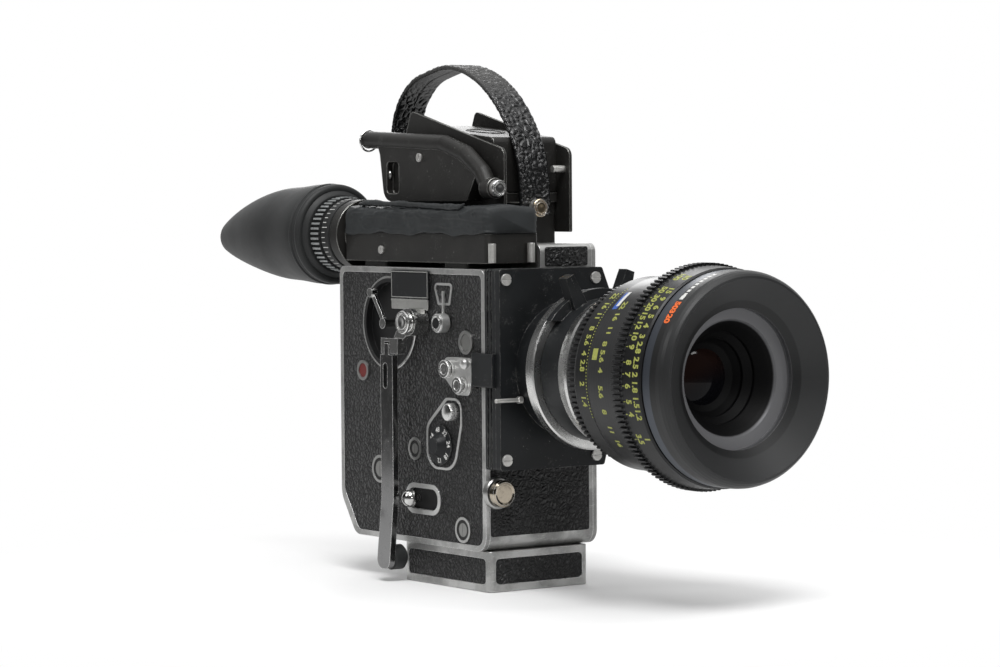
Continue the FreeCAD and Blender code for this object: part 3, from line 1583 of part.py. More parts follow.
def make_bracket():
    """The cast bracket on the crank side of the saddle, with a tube along its top edge."""
    right = size.saddle_left
    left = right - size.bracket_depth
    middle = (left + right) / 2
    low = size.saddle_floor + 1
    near = size.saddle_front - 1.5
    boss_z = low + 8
    tube_front_y = near + 56
    tube_front = (tube_front_y, size.tube_z - 4)
    path = [tube_front, (near + 32, size.tube_z - 11), (near + 15, boss_z + 10), (near + 8, boss_z)]
    r = size.tube_radius
    web = new_body("bracket_web")
    outline = [
        (near + 27, low, 2),
        (size.tube_rear - 25, low, 9),
        (size.tube_rear - 20, size.tube_z - 10, 4),
        (size.tube_rear - 16, size.tube_z - 1, 2),
        (tube_front_y, size.tube_z - 4, 10),
        (near + 32, size.tube_z - 11, 5),
        (near + 16, boss_z + 10, 3),
    ]
    pad(web, SIDE, outline, middle - 4, right)
    hollow = rect(size.tube_rear - 42, low + 5, size.tube_rear - 28, size.tube_z - 15, 3)
    pocket(web, SIDE, hollow, middle - 4, middle + 1)
    pieces = [web]
    run = size.tube_rear - tube_front_y
    tube_run = rod("bracket_tube", r, run * 1.001, middle, tube_front[0], tube_front[1], "+y")
    tube_run.Placement.Rotation = FreeCAD.Rotation(V(0, 0, 1), V(0, run.value, 4))
    pieces += [tube_run, ball("bracket_tube_ball", r, middle, *tube_front)]
    for index in range(len(path) - 1):
        pieces += leg("bracket_bend_%d" % index, r, path[index], path[index + 1], middle)
    pieces.append(rod("bracket_boss", 6.6, 9, middle, near + 10, boss_z, "-y"))
    node(fuse("bracket_all", *pieces), "handle_bracket")


def strap_path():
    """The strap's middle line in the side view: front stud, over the top, back stud."""
    floor, near, far = size.saddle_floor, size.saddle_front, saddle_back
    return [
        (near + 4, floor - 8, 0),
        (near + 4.6, floor + 28, 70),
        (near + 37, floor + 76, 90),
        (near + 84, floor + 89, 60),
        (far + 20, floor + 78, 44),
        (far + 38, floor + 43, 26),
        (far + 16, floor + 14, 28),
        (far - 2, floor + 4, 0),
    ]


def band(path, half):
    """A strip of even thickness along a path of straight runs, with rounded bends."""
    sides = []
    for side in (-1, 1):
        points = []
        for i, point in enumerate(path):
            before = path[max(i - 1, 0)]
            after = path[min(i + 1, len(path) - 1)]
            first = V(point[0].value - before[0].value, point[1].value - before[1].value, 0)
            last = V(after[0].value - point[0].value, after[1].value - point[1].value, 0)
            first = first.normalize() if first.Length > 1e-6 else last.normalize()
            last = last.normalize() if last.Length > 1e-6 else first
            normal = V(-(first.y + last.y), first.x + last.x, 0).normalize()
            stretch = 1 / max(0.3, normal.dot(V(-first.y, first.x, 0)))
            out = half * (side * stretch)
            radius = 0 if i in (0, len(path) - 1) else point[2] + half * side
            points.append((point[0] + out * normal.x, point[1] + out * normal.y, radius))
        sides.append(points)
    return sides[0] + list(reversed(sides[1]))


def make_strap():
    strap = new_body("strap_body")
    half = size.strap_thickness / 2
    middle = (size.saddle_left + saddle_right) / 2
    outline = band([(Dim.of(u), Dim.of(v), Dim.of(r)) for u, v, r in strap_path()], half)
    pad(strap, SIDE, outline, middle - size.strap_width / 2, middle + size.strap_width / 2)
    node(strap, "strap")


def make_saddle_screws():
    """The studs that hold the strap, and the slotted screws of the bracket."""
    gap = size.fit_gap / 3
    middle = (size.saddle_left + saddle_right) / 2
    low = size.saddle_floor + 1
    strap_face = size.saddle_front + 4 - size.strap_thickness / 2 - gap
    stud = disc("strap_stud", 5.6, 0, 3.6, middle, strap_face, size.saddle_floor - 3.5, "-y")
    bracket_x = size.saddle_left - size.bracket_depth / 2
    screw = disc("bracket_screw", 5.2, gap, 3, bracket_x, size.saddle_front - 0.5, low + 8, "-y")
    face = bracket_x - 4
    web_screw = slotted_disc("web_screw", 2.8, 1.2, face - gap, size.saddle_front + 77, low + 28)
    guard_face = saddle_right - size.guard_thickness - gap
    guard_pin = rod("guard_pin", 2.2, 9, guard_face, size.saddle_front + 6, low + 20, "-x")
    return [stud, screw, web_screw, guard_pin]


def make_door():
    """The film door with its leather, and the two turning latches on it."""
    door = new_body("film_door_body")
    inner_trim = body_outline(film_top, size.trim_width, 0.7)
    skin = door_x - size.leather_recess - size.leather_thickness
    pad(door, SIDE, body_outline(film_top), casting_right, skin)
    pad(door, SIDE, [body_outline(film_top), inner_trim], skin, door_x)
    node(door, "film_door")
    leather = new_body("door_leather_body")
    gap = size.fit_gap / 2
    field = body_outline(film_top, size.trim_width + gap, 0.6)
    pad(leather, SIDE, field, skin, door_x - size.leather_recess)
    node(leather, "door_leather")
    for label, z in (("door_latch_upper", film_top - 26), ("door_latch_lower", body_z + 26)):
        r = size.latch_radius
        profile = [
            (0, size.fit_gap / 2),
            (r, size.fit_gap / 2),
            (r, 1.6),
            (r - 1, 2.2),
            (0, 2.2),
        ]
        y = size.latch_y
        plate = turned(label + "_disc", profile, door_x - size.leather_recess, y, z, "+x")
        wing = block(label + "_wing", door_x + 1, door_x + 7, y - 1.6, y + 1.6, z - r + 2, z + r - 2)
        node(fuse(label + "_body", plate, wing), label)


base_panels = make_base()
make_casting()
make_leather(base_panels)
make_side_fittings()
make_side_knobs()
make_crank()
make_button()
make_front()
make_lens()
make_drive()
make_gate()
make_saddle()
make_finder()
make_door()

doc.recompute()
failed = [o.Name for o in doc.Objects if "Invalid" in o.State or "Error" in o.State]
if failed:
    raise RuntimeError("these objects failed: %s" % failed)
for name, thing in nodes.items():
    if thing.Shape.isNull() or not thing.Shape.isValid() or not thing.Shape.Solids:
        raise RuntimeError("%s has no valid solid" % name)

os.makedirs("parts", exist_ok=True)
for name, thing in nodes.items():
    thing.Shape.exportStep("parts/%s.step" % name)
print("%d pieces written" % len(nodes))
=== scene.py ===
"""The looks of a spring-wound cine camera with a large geared lens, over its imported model."""

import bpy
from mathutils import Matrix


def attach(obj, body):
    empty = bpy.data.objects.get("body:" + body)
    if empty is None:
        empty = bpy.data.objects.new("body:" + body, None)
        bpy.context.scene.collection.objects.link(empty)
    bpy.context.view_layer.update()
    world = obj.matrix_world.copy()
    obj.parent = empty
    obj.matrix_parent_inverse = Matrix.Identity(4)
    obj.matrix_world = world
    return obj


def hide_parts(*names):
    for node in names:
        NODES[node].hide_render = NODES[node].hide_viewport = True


bl_info = {
    "name": "Cine camera looks",
    "version": (1, 0, 0),
    "blender": (4, 5, 0),
    "location": "View3D > Sidebar > Cine camera",
    "description": "Finishes, figures and soft pieces of a spring-wound cine camera",
    "category": "Object",
}

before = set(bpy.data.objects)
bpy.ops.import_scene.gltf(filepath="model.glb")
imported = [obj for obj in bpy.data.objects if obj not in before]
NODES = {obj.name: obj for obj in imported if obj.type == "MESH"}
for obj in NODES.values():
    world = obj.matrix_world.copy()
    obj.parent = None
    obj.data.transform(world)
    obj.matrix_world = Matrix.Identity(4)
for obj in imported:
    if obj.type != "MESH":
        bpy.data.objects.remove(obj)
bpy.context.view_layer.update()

import math

import bmesh
import bpy
from bpy.props import FloatProperty, FloatVectorProperty, IntProperty, PointerProperty
from mathutils import Matrix, Vector, noise
from mathutils.bvhtree import BVHTree

MM = 0.001

# The lens axis, in metres, runs along -Y through this place
LENS_X = 0.0135
LENS_Z = 0.138

# The eyepiece axis, in metres, runs along Y through this place
EYE_X = -0.02
EYE_Z = 0.22

# Middles on the crank side, in metres along Y and Z: the dish, then each port with its radius
DISH_Y = 0.0595
DISH_Z = 0.164
PORTS = ((0.0313, 0.085, 0.0072), (0.0715, 0.0695, 0.009), (-0.0212, 0.0372, 0.0082))

# The face of the crank side along X, in millimetres, on which the knobs stand
SIDE_X = -41.5

# Ways in which fittings face
LEFT = (-1, 0, 0)
FRONT = (0, -1, 0)
BACK = (0, 1, 0)

# The size of a font for figures that are one unit high
FONT_SIZE = 1.42

HALF = (0.5, 0.5, 0.5)
WHITE = (1.0, 1.0, 1.0)
BLACK = (0.0065, 0.0067, 0.007)
RUBBED_EDGE = (0.2, 0.2, 0.21)


# Shader maths


class Field:
    """A socket of a node tree, on which Python's operators add Math nodes."""

    def __init__(self, shading, socket):
        self.shading = shading
        self.socket = socket

    def math(self, operation, *others):
        values = dict(enumerate((self,) + others))
        return self.shading.node("ShaderNodeMath", {"operation": operation}, values)

    def __add__(self, other):
        return self.math("ADD", other)

    __radd__ = __add__

    def __sub__(self, other):
        return self.math("SUBTRACT", other)

    def __rsub__(self, other):
        return self.shading.number(other).math("SUBTRACT", self)

    def __mul__(self, other):
        return self.math("MULTIPLY", other)

    __rmul__ = __mul__

    def __pow__(self, other):
        return self.math("POWER", other)

    def sine(self):
        return self.math("SINE")

    def most(self, other):
        return self.math("MAXIMUM", other)

    def over(self, low, high):
        """1 where the value is above high and 0 below low, with a smooth run between."""
        settings = {"interpolation_type": "SMOOTHSTEP"}
        return self.shading.node("ShaderNodeMapRange", settings, {0: self, 1: low, 2: high})


class Shading:
    """An empty node tree that is filled by a few lines of shader maths."""

    def __init__(self, tree, kind):
        self.tree = tree
        self.tree.nodes.clear()
        self.output = self.tree.nodes.new(kind)

    def node(self, kind, settings=None, values=None, out=0):
        """Any node: its settings first, then its sockets, and the output that is wanted."""
        made = self.tree.nodes.new(kind)
        for name, setting in (settings or {}).items():
            if name == "stops":
                self.stops(made.color_ramp, setting)
            else:
                setattr(made, name, setting)
        for socket, value in (values or {}).items():
            self.feed(made.inputs[socket], value)
        return Field(self, made.outputs[out])

    def stops(self, ramp, stops):
        while len(ramp.elements) < len(stops):
            ramp.elements.new(1.0)
        for element, (place, colour) in zip(ramp.elements, stops):
            element.position = place
            element.color = tuple(colour) + (1.0,)

    def feed(self, socket, value):
        if isinstance(value, Field):
            self.tree.links.new(value.socket, socket)
        elif hasattr(value, "__len__") and len(value) == 3 and socket.type == "RGBA":
            socket.default_value = tuple(value) + (1.0,)
        else:
            socket.default_value = value

    def number(self, value):
        return self.node("ShaderNodeMath", {"operation": "ADD"}, {0: value, 1: 0.0})

    def mix(self, factor, first, second):
        """A colour between two colours."""
        return self.node("ShaderNodeMix", {"data_type": "RGBA"}, {0: factor, 6: first, 7: second}, 2)

    def blend(self, factor, first, second):
        """A number between two numbers."""
        return self.node("ShaderNodeMix", {"data_type": "FLOAT"}, {0: factor, 2: first, 3: second})

    def vector(self, operation, values, out=0):
        return self.node("ShaderNodeVectorMath", {"operation": operation}, values, out)

    def ray(self, kind):
        return self.node("ShaderNodeLightPath", {}, {}, kind)

    def shown(self):
        """1 for the rays that show the background: straight to the camera, or by metal and glass."""
        mirrored = self.ray("Is Glossy Ray").most(self.ray("Is Transmission Ray"))
        return self.ray("Is Camera Ray").most(mirrored)

    def surface(self, factor, first, second):
        """Sends a mixture of two shaders to the output."""
        both = self.node("ShaderNodeMixShader", {}, {0: factor, 1: first, 2: second})
        self.feed(self.output.inputs["Surface"], both)


class Finish(Shading):
    """One material with one principled shader."""

    def __init__(self, name, **constants):
        self.material = bpy.data.materials.new(name)
        self.material.use_nodes = True
        super().__init__(self.material.node_tree, "ShaderNodeOutputMaterial")
        self.shader = self.tree.nodes.new("ShaderNodeBsdfPrincipled")
        self.tree.links.new(self.shader.outputs[0], self.output.inputs["Surface"])
        for socket, value in constants.items():
            self.shader.inputs[socket.replace("_", " ")].default_value = value
        self.place = self.node("ShaderNodeTexCoord", {}, {}, "Object")

    def noise(self, scale, detail=3.0, rough=0.5, distort=0.0, place=None):
        values = {"Scale": scale, "Detail": detail, "Roughness": rough, "Distortion": distort}
        values["Vector"] = place or self.place
        return self.node("ShaderNodeTexNoise", {}, values)

    def cells(self, scale, feature="F1", randomness=1.0, place=None):
        values = {"Scale": scale, "Randomness": randomness, "Vector": place or self.place}
        return self.node("ShaderNodeTexVoronoi", {"feature": feature}, values)

    def stretched(self, scale):
        return self.node("ShaderNodeMapping", {}, {"Vector": self.place, "Scale": scale})

    def axes(self):
        """The three coordinates of the surface point, in metres."""
        return [self.node("ShaderNodeSeparateXYZ", {}, {0: self.place}, i) for i in range(3)]

    def bump(self, height, depth, strength=1.0, normal=None):
        values = {"Height": height, "Distance": depth, "Strength": strength}
        if normal is not None:
            values["Normal"] = normal
        return self.node("ShaderNodeBump", {}, values)

    def rounded(self, radius):
        """The surface normal with its edges rounded off."""
        return self.node("ShaderNodeBevel", {"samples": 4}, {"Radius": radius})

    def edges(self, rounded):
        """How near an edge the point is: 0 on flats and 1 on sharp corners."""
        true = self.node("ShaderNodeNewGeometry", {}, {}, "True Normal")
        return 1.0 - self.vector("DOT_PRODUCT", {0: rounded, 1: true}, 1)

    def paint(self, **sockets):
        for name, value in sockets.items():
            self.feed(self.shader.inputs[name.replace("_", " ")], value)
        return self.material


def shade(colour, factor):
    """A darker or lighter tone of a colour."""
    return tuple(min(1.0, channel * factor) for channel in colour)


def reach(first, first_middle, second, second_middle):
    """How far a point is from a middle, from two of its coordinates."""
    return ((first - first_middle) ** 2.0 + (second - second_middle) ** 2.0) ** 0.5


# Finishes


def bare_metal(name, colour, roughness=0.3, wear=0.8, grain=1.0, edge=0.0007):
    """Satin metal that years of handling have dulled in patches and polished on the edges."""
    f = Finish(name, Metallic=0.85)
    cloud = f.noise(42, 5, 0.66, 0.4)
    streak = f.noise(26, 4, 0.6, place=f.stretched((1.0, 1.0, 0.22)))
    speck = f.noise(900, 2, 0.7)
    hair = f.noise(160, 3, 0.6, place=f.stretched((1.0, 9.0, 9.0)))
    scratch = hair.over(0.6, 0.66) * cloud.over(0.4, 0.6)
    normal = f.rounded(edge)
    worn = f.edges(normal).over(0.005, 0.12)
    dirt = (cloud * 0.6 + streak * 0.4).over(0.4, 0.62)
    pits = speck.over(0.62, 0.7) * cloud
    tone = f.mix(dirt * wear, colour, shade(colour, 0.45))
    tone = f.mix(pits * 0.5, tone, shade(colour, 0.3))
    tone = f.mix(worn * 0.75 + scratch * 0.3, tone, shade(colour, 2.0))
    height = hair * 0.7 + speck * 0.3 + cloud
    return f.paint(
        Base_Color=tone,
        Roughness=roughness + 0.22 * dirt + 0.06 * speck - 0.12 * worn,
        Normal=f.bump(height, 0.00006 * grain, 0.6, normal),
    )


def polished_metal(name, colour, roughness=0.1, edge=0.0005):
    """Chrome plate: dark where it mirrors the room; along its edges rubbed plating and a painted
    highlight, pale and less metallic.
    """
    f = Finish(name)
    cloud = f.noise(60, 3, 0.6)
    hair = f.noise(420, 2, 0.5, 0.6)
    normal = f.rounded(edge)
    near = f.edges(normal).over(0.006, 0.1)
    dull = cloud.over(0.5, 0.75)
    tone = f.mix(dull * 0.6, colour, shade(colour, 0.6))
    return f.paint(
        # Painted highlight, partly rubbed plating: near the edges the colour turns pale grey and less
        # metallic, so the edges stay bright.
        Base_Color=f.mix(near, tone, (0.75, 0.75, 0.74)),
        Metallic=1.0 - 0.45 * near,
        Roughness=roughness + 0.14 * dull + 0.08 * hair.over(0.55, 0.65) + 0.12 * near,
        Normal=f.bump(hair + cloud, 0.00002, 0.5, normal),
    )


def turned_metal(name, colour, roughness):
    """Metal turned on a lathe about the lens axis: fine rings along its length."""
    f = Finish(name, Metallic=1.0)
    x, y, z = f.axes()
    wave = (y * 2200.0 + reach(x, LENS_X, z, LENS_Z) * 1540.0).sine()
    cloud = f.noise(60, 3, 0.6)
    fine = f.noise(1400, 2)
    normal = f.rounded(0.0004)
    worn = f.edges(normal).over(0.01, 0.16)
    tone = f.mix(cloud.over(0.4, 0.65) * 0.4, colour, shade(colour, 0.7))
    return f.paint(
        Base_Color=f.mix(worn * 0.5, tone, shade(colour, 1.6)),
        Roughness=roughness + 0.1 * cloud + 0.05 * fine,
        Normal=f.bump(wave * 0.5 + fine * 0.12, 0.00002, 0.6, normal),
    )


def black_paint(name, colour, roughness, wear, pebble=0.0, edge=0.0005):
    """Baked black paint over metal, rubbed through along the edges."""
    f = Finish(name, Specular_IOR_Level=0.3)
    cloud = f.noise(38, 4, 0.62)
    fine = f.noise(1300, 2, 0.6)
    chips = f.noise(330, 3, 0.7)
    normal = f.rounded(edge)
    gone = f.edges(normal).over(0.01, 0.2) * (chips + cloud)
    dents = f.noise(520, 2, 0.8).over(0.7, 0.74) * f.noise(22, 2).over(0.5, 0.6)
    rubbed = gone.over(0.6 / wear, 0.9 / wear).most(dents * min(wear, 1.0) * 0.8)
    dust = (f.noise(700, 2, 0.8) * f.noise(90, 2)).over(0.36, 0.42)
    tone = f.mix(cloud.over(0.35, 0.65), colour, shade(colour, 1.35))
    tone = f.mix(dust * 0.25, tone, (0.12, 0.12, 0.115))
    height = fine + f.cells(1100).over(0.1, 0.6) * pebble
    return f.paint(
        Base_Color=f.mix(rubbed, tone, (0.42, 0.42, 0.4)),
        Metallic=rubbed,
        Roughness=roughness + 0.14 * cloud + 0.04 * fine - 0.06 * rubbed,
        Normal=f.bump(height, 0.00005 + 0.0001 * pebble, 0.5, normal),
    )


def lens_black(name, colour):
    """Black anodised metal with the lathe's fine rings and slightly bright edges."""
    f = Finish(name, Specular_IOR_Level=0.34)
    x, y, z = f.axes()
    wave = (y * 2600.0 + reach(x, LENS_X, z, LENS_Z) * 2600.0).sine()
    cloud = f.noise(48, 4, 0.6)
    fine = f.noise(1800, 2, 0.6)
    normal = f.rounded(0.0004)
    near = f.edges(normal).over(0.02, 0.3) * 0.35
    tone = f.mix(cloud.over(0.35, 0.65), colour, shade(colour, 1.4))
    return f.paint(
        Base_Color=f.mix(near, tone, RUBBED_EDGE),
        Metallic=0.35 * near + 0.12,
        Roughness=0.3 + 0.12 * cloud + 0.05 * fine,
        Normal=f.bump(wave * 0.6 + fine * 0.5, 0.000012, 0.5, normal),
    )


def leather(name, colour, size, depth):
    """Embossed leatherette: long shiny wrinkles and pebbles, parted by rough creases darkened with
    painted shade.
    """
    f = Finish(name, Specular_IOR_Level=0.45)
    swirl = {"Vector": f.place, "Scale": 0.45 / size, "Detail": 2.0}
    swirl = f.node("ShaderNodeTexNoise", {}, swirl, "Color")
    pull = f.vector("SCALE", {0: f.vector("SUBTRACT", {0: swirl, 1: HALF}), "Scale": size * 1.8})
    bent = f.vector("ADD", {0: f.place, 1: pull})
    pebble = f.cells(1.0 / size, "DISTANCE_TO_EDGE", 0.9, bent)
    small = f.cells(2.1 / size, "DISTANCE_TO_EDGE", place=bent)
    wrinkle = f.noise(0.5 / size, 2, 0.5, 1.6)
    fine = f.noise(4.0 / size, 2, 0.6)
    dome = pebble.over(0.02, 0.42)
    height = dome * (0.4 + wrinkle) + 0.22 * small.over(0.0, 0.3) + 0.06 * fine
    crease = 1.0 - pebble.over(0.0, 0.1)
    rubbed = (dome * wrinkle).over(0.42, 0.62)
    dusty = f.noise(24, 4, 0.6).over(0.45, 0.7)
    # Painted shade: the creases are darkened to about a third of the leather's colour.
    tone = f.mix(crease, colour, shade(colour, 0.35))
    return f.paint(
        Base_Color=f.mix(rubbed * (0.35 + dusty * 0.5), tone, shade(colour, 6.0)),
        Roughness=0.36 + 0.3 * crease + 0.1 * fine - 0.14 * rubbed,
        Normal=f.bump(height, depth, 1.0, f.rounded(0.0004)),
    )


def rubber(name, colour, roughness, dust, mould=0.00003):
    """Matt moulded rubber with a little dust in its pores."""
    f = Finish(name, Specular_IOR_Level=0.3)
    cloud = f.noise(26, 4, 0.6)
    fine = f.noise(1500, 3, 0.7)
    smear = f.noise(70, 3, 0.6, 0.8)
    tone = f.mix(cloud.over(0.3, 0.7), colour, shade(colour, 1.35))
    return f.paint(
        Base_Color=f.mix(smear.over(0.55, 0.75) * dust, tone, shade(colour, 2.1)),
        Roughness=roughness + 0.14 * smear + 0.06 * fine,
        Normal=f.bump(fine * 0.6 + smear * 0.5, mould, 0.6, f.rounded(0.0005)),
    )


def figure_paint(name, colour):
    """The enamel that fills engraved figures and lines."""
    f = Finish(name, Specular_IOR_Level=0.3)
    worn = f.noise(900, 3, 0.7).over(0.35, 0.75)
    return f.paint(
        Base_Color=f.mix(worn, colour, shade(colour, 0.72)), Roughness=0.45 + 0.2 * worn
    )


def coated_glass(name, tint, coating):
    """Lens glass, dark inside, with a coloured anti-reflection coating."""
    f = Finish(name, Specular_IOR_Level=0.4)
    haze = f.noise(220, 3, 0.6).over(0.5, 0.8)
    return f.paint(Base_Color=f.mix(haze * 0.5, tint, coating), Roughness=0.02 + 0.04 * haze)


def zoned(name, zones, tone=BLACK, metal=0.1, rough=0.34, edge=0.0004, specular=0.36, wear=0.4):
    """Metal in two or more tones; each zone is a mask, a colour, how metallic and how rough."""
    f = Finish(name, Specular_IOR_Level=specular)
    cloud = f.noise(60, 4, 0.6)
    fine = f.noise(1500, 2, 0.6)
    for mask, colour, metallic, rougher in zones(*f.axes()):
        tone = f.mix(mask, tone, colour)
        metal = f.blend(mask, metal, metallic)
        rough = f.blend(mask, rough, rougher)
    normal = f.rounded(edge)
    near = f.edges(normal).over(0.02, 0.3) * wear
    return f.paint(
        Base_Color=f.mix(near, tone, RUBBED_EDGE),
        Metallic=metal,
        Roughness=rough + 0.1 * cloud + 0.05 * fine,
        Normal=f.bump(fine + cloud, 0.00003, 0.5, normal),
    )


def front_zones(x, y, z):
    """The front ring: grey face, black band, blue-grey band behind it and a lighter inner lip."""
    face = 1.0 - y.over(-0.2268, -0.2262)
    band = y.over(-0.2214, -0.2208)
    lip = 1.0 - reach(x, LENS_X, z, LENS_Z).over(0.0412, 0.0418)
    yield face, (0.021, 0.0215, 0.022), 0.2, 0.34
    yield band, (0.055, 0.062, 0.075), 0.55, 0.3
    yield lip, (0.16, 0.16, 0.165), 0.85, 0.34


def hood_zones(x, y, z):
    """The hood: its outer cone is lighter than the rings inside it, whose near-black is matt paint
    deepened with painted shade.
    """
    yield reach(x, LENS_X, z, LENS_Z).over(0.0335, 0.0345), (0.12, 0.12, 0.125), 0.3, 0.36


def dish_zones(x, y, z):
    """The dish: bright rim round a black bowl."""
    yield reach(y, DISH_Y, z, DISH_Z).over(0.0288, 0.0292), (0.6, 0.6, 0.59), 1.0, 0.2


def port_zones(x, y, z):
    """The ports: a groove painted near-black as shade, and a dull plug inside each bright ring."""
    for middle_y, middle_z, radius in PORTS:
        away = reach(y, middle_y, z, middle_z)
        groove = 1.0 - away.over(radius - 0.0021, radius - 0.0019)
        plug = 1.0 - away.over(radius - 0.004, radius - 0.0038)
        # Painted shade: the band between the bright rim and the plug is near-black, standing for the
        # shade in a groove.
        yield groove, (0.02, 0.02, 0.02), 0.2, 0.5
        yield plug, (0.3, 0.3, 0.29), 1.0, 0.32


def window_zones(x, y, z):
    """The rear window is red and the front one a dull grey plate."""
    rear = y.over(0.02, 0.03)
    yield 1.0 - rear, (0.26, 0.26, 0.25), 0.9, 0.4
    yield rear, (0.14, 0.02, 0.018), 0.0, 0.25


# Sizes and colours that a user would change


def colour(name, description, value):
    return FloatVectorProperty(
        name=name, description=description, subtype="COLOR", size=3, min=0.0, max=1.0, default=value
    )


def length(name, description, value, low, high):
    return FloatProperty(
        name=name, description=description, unit="LENGTH", min=low, max=high, default=value
    )


def count(name, description, value, high):
    return IntProperty(
        name=name, description=description, subtype="UNSIGNED", min=12, max=high, default=value
    )


class CameraColours(bpy.types.PropertyGroup):
    bare: colour("Bare metal", "Worn satin metal of the body, trim and base", (0.54, 0.54, 0.53))
    bright: colour("Bright metal", "Mount ring, flange and bezels", (0.64, 0.64, 0.63))
    chrome: colour("Chrome", "Crank, knobs and screws", (0.66, 0.66, 0.65))
    steel: colour("Steel", "Gears, gate and other inner parts", (0.5, 0.5, 0.5))
    leather: colour("Leatherette", "Embossed covering of the body", (0.0055, 0.0056, 0.0058))
    strap: colour("Strap", "Pebbled leather of the hand strap", (0.005, 0.0052, 0.0055))
    paint: colour("Black paint", "Front plate, mount and dial", (0.0066, 0.0074, 0.0082))
    cast: colour("Cast paint", "Finder housing, guards and bracket", (0.0145, 0.014, 0.013))
    lens: colour("Lens black", "Anodised rings of the lens", (0.0062, 0.0064, 0.0067))
    rubber: colour("Rubber", "Eyecup and grip", (0.019, 0.0198, 0.02))
    cover: colour("Finder rubber", "Soft cover of the finder", (0.0195, 0.0215, 0.0225))
    figures: colour("Lens figures", "Yellow-green figures of the lens", (0.36, 0.38, 0.09))
    marks: colour("White marks", "White figures and lines", (0.72, 0.72, 0.7))
    accent: colour("Orange marks", "Orange figures on the front band", (0.85, 0.16, 0.03))
    floor: colour("Floor", "Pale floor under the camera", (0.9, 0.9, 0.9))


class CameraSizes(bpy.types.PropertyGroup):
    figure: length("Figure height", "Height of the figures on the lens rings", 0.0052, 0.001, 0.01)
    relief: length("Figure relief", "How far painted figures stand proud", 0.00008, 0.00002, 0.001)
    grain: length("Leather grain", "Size of one pebble of the leatherette", 0.0033, 0.0005, 0.01)
    strap_grain: length("Strap grain", "Size of one pebble of the strap", 0.0042, 0.0005, 0.01)
    ribs: count("Ribs", "Ribs round the dioptre ring", 46, 120)
    knurls: count("Knurls", "Knurls round a small knob", 36, 90)


def colours():
    return bpy.context.scene.camera_colours


def sizes():
    return bpy.context.scene.camera_sizes


# Stage


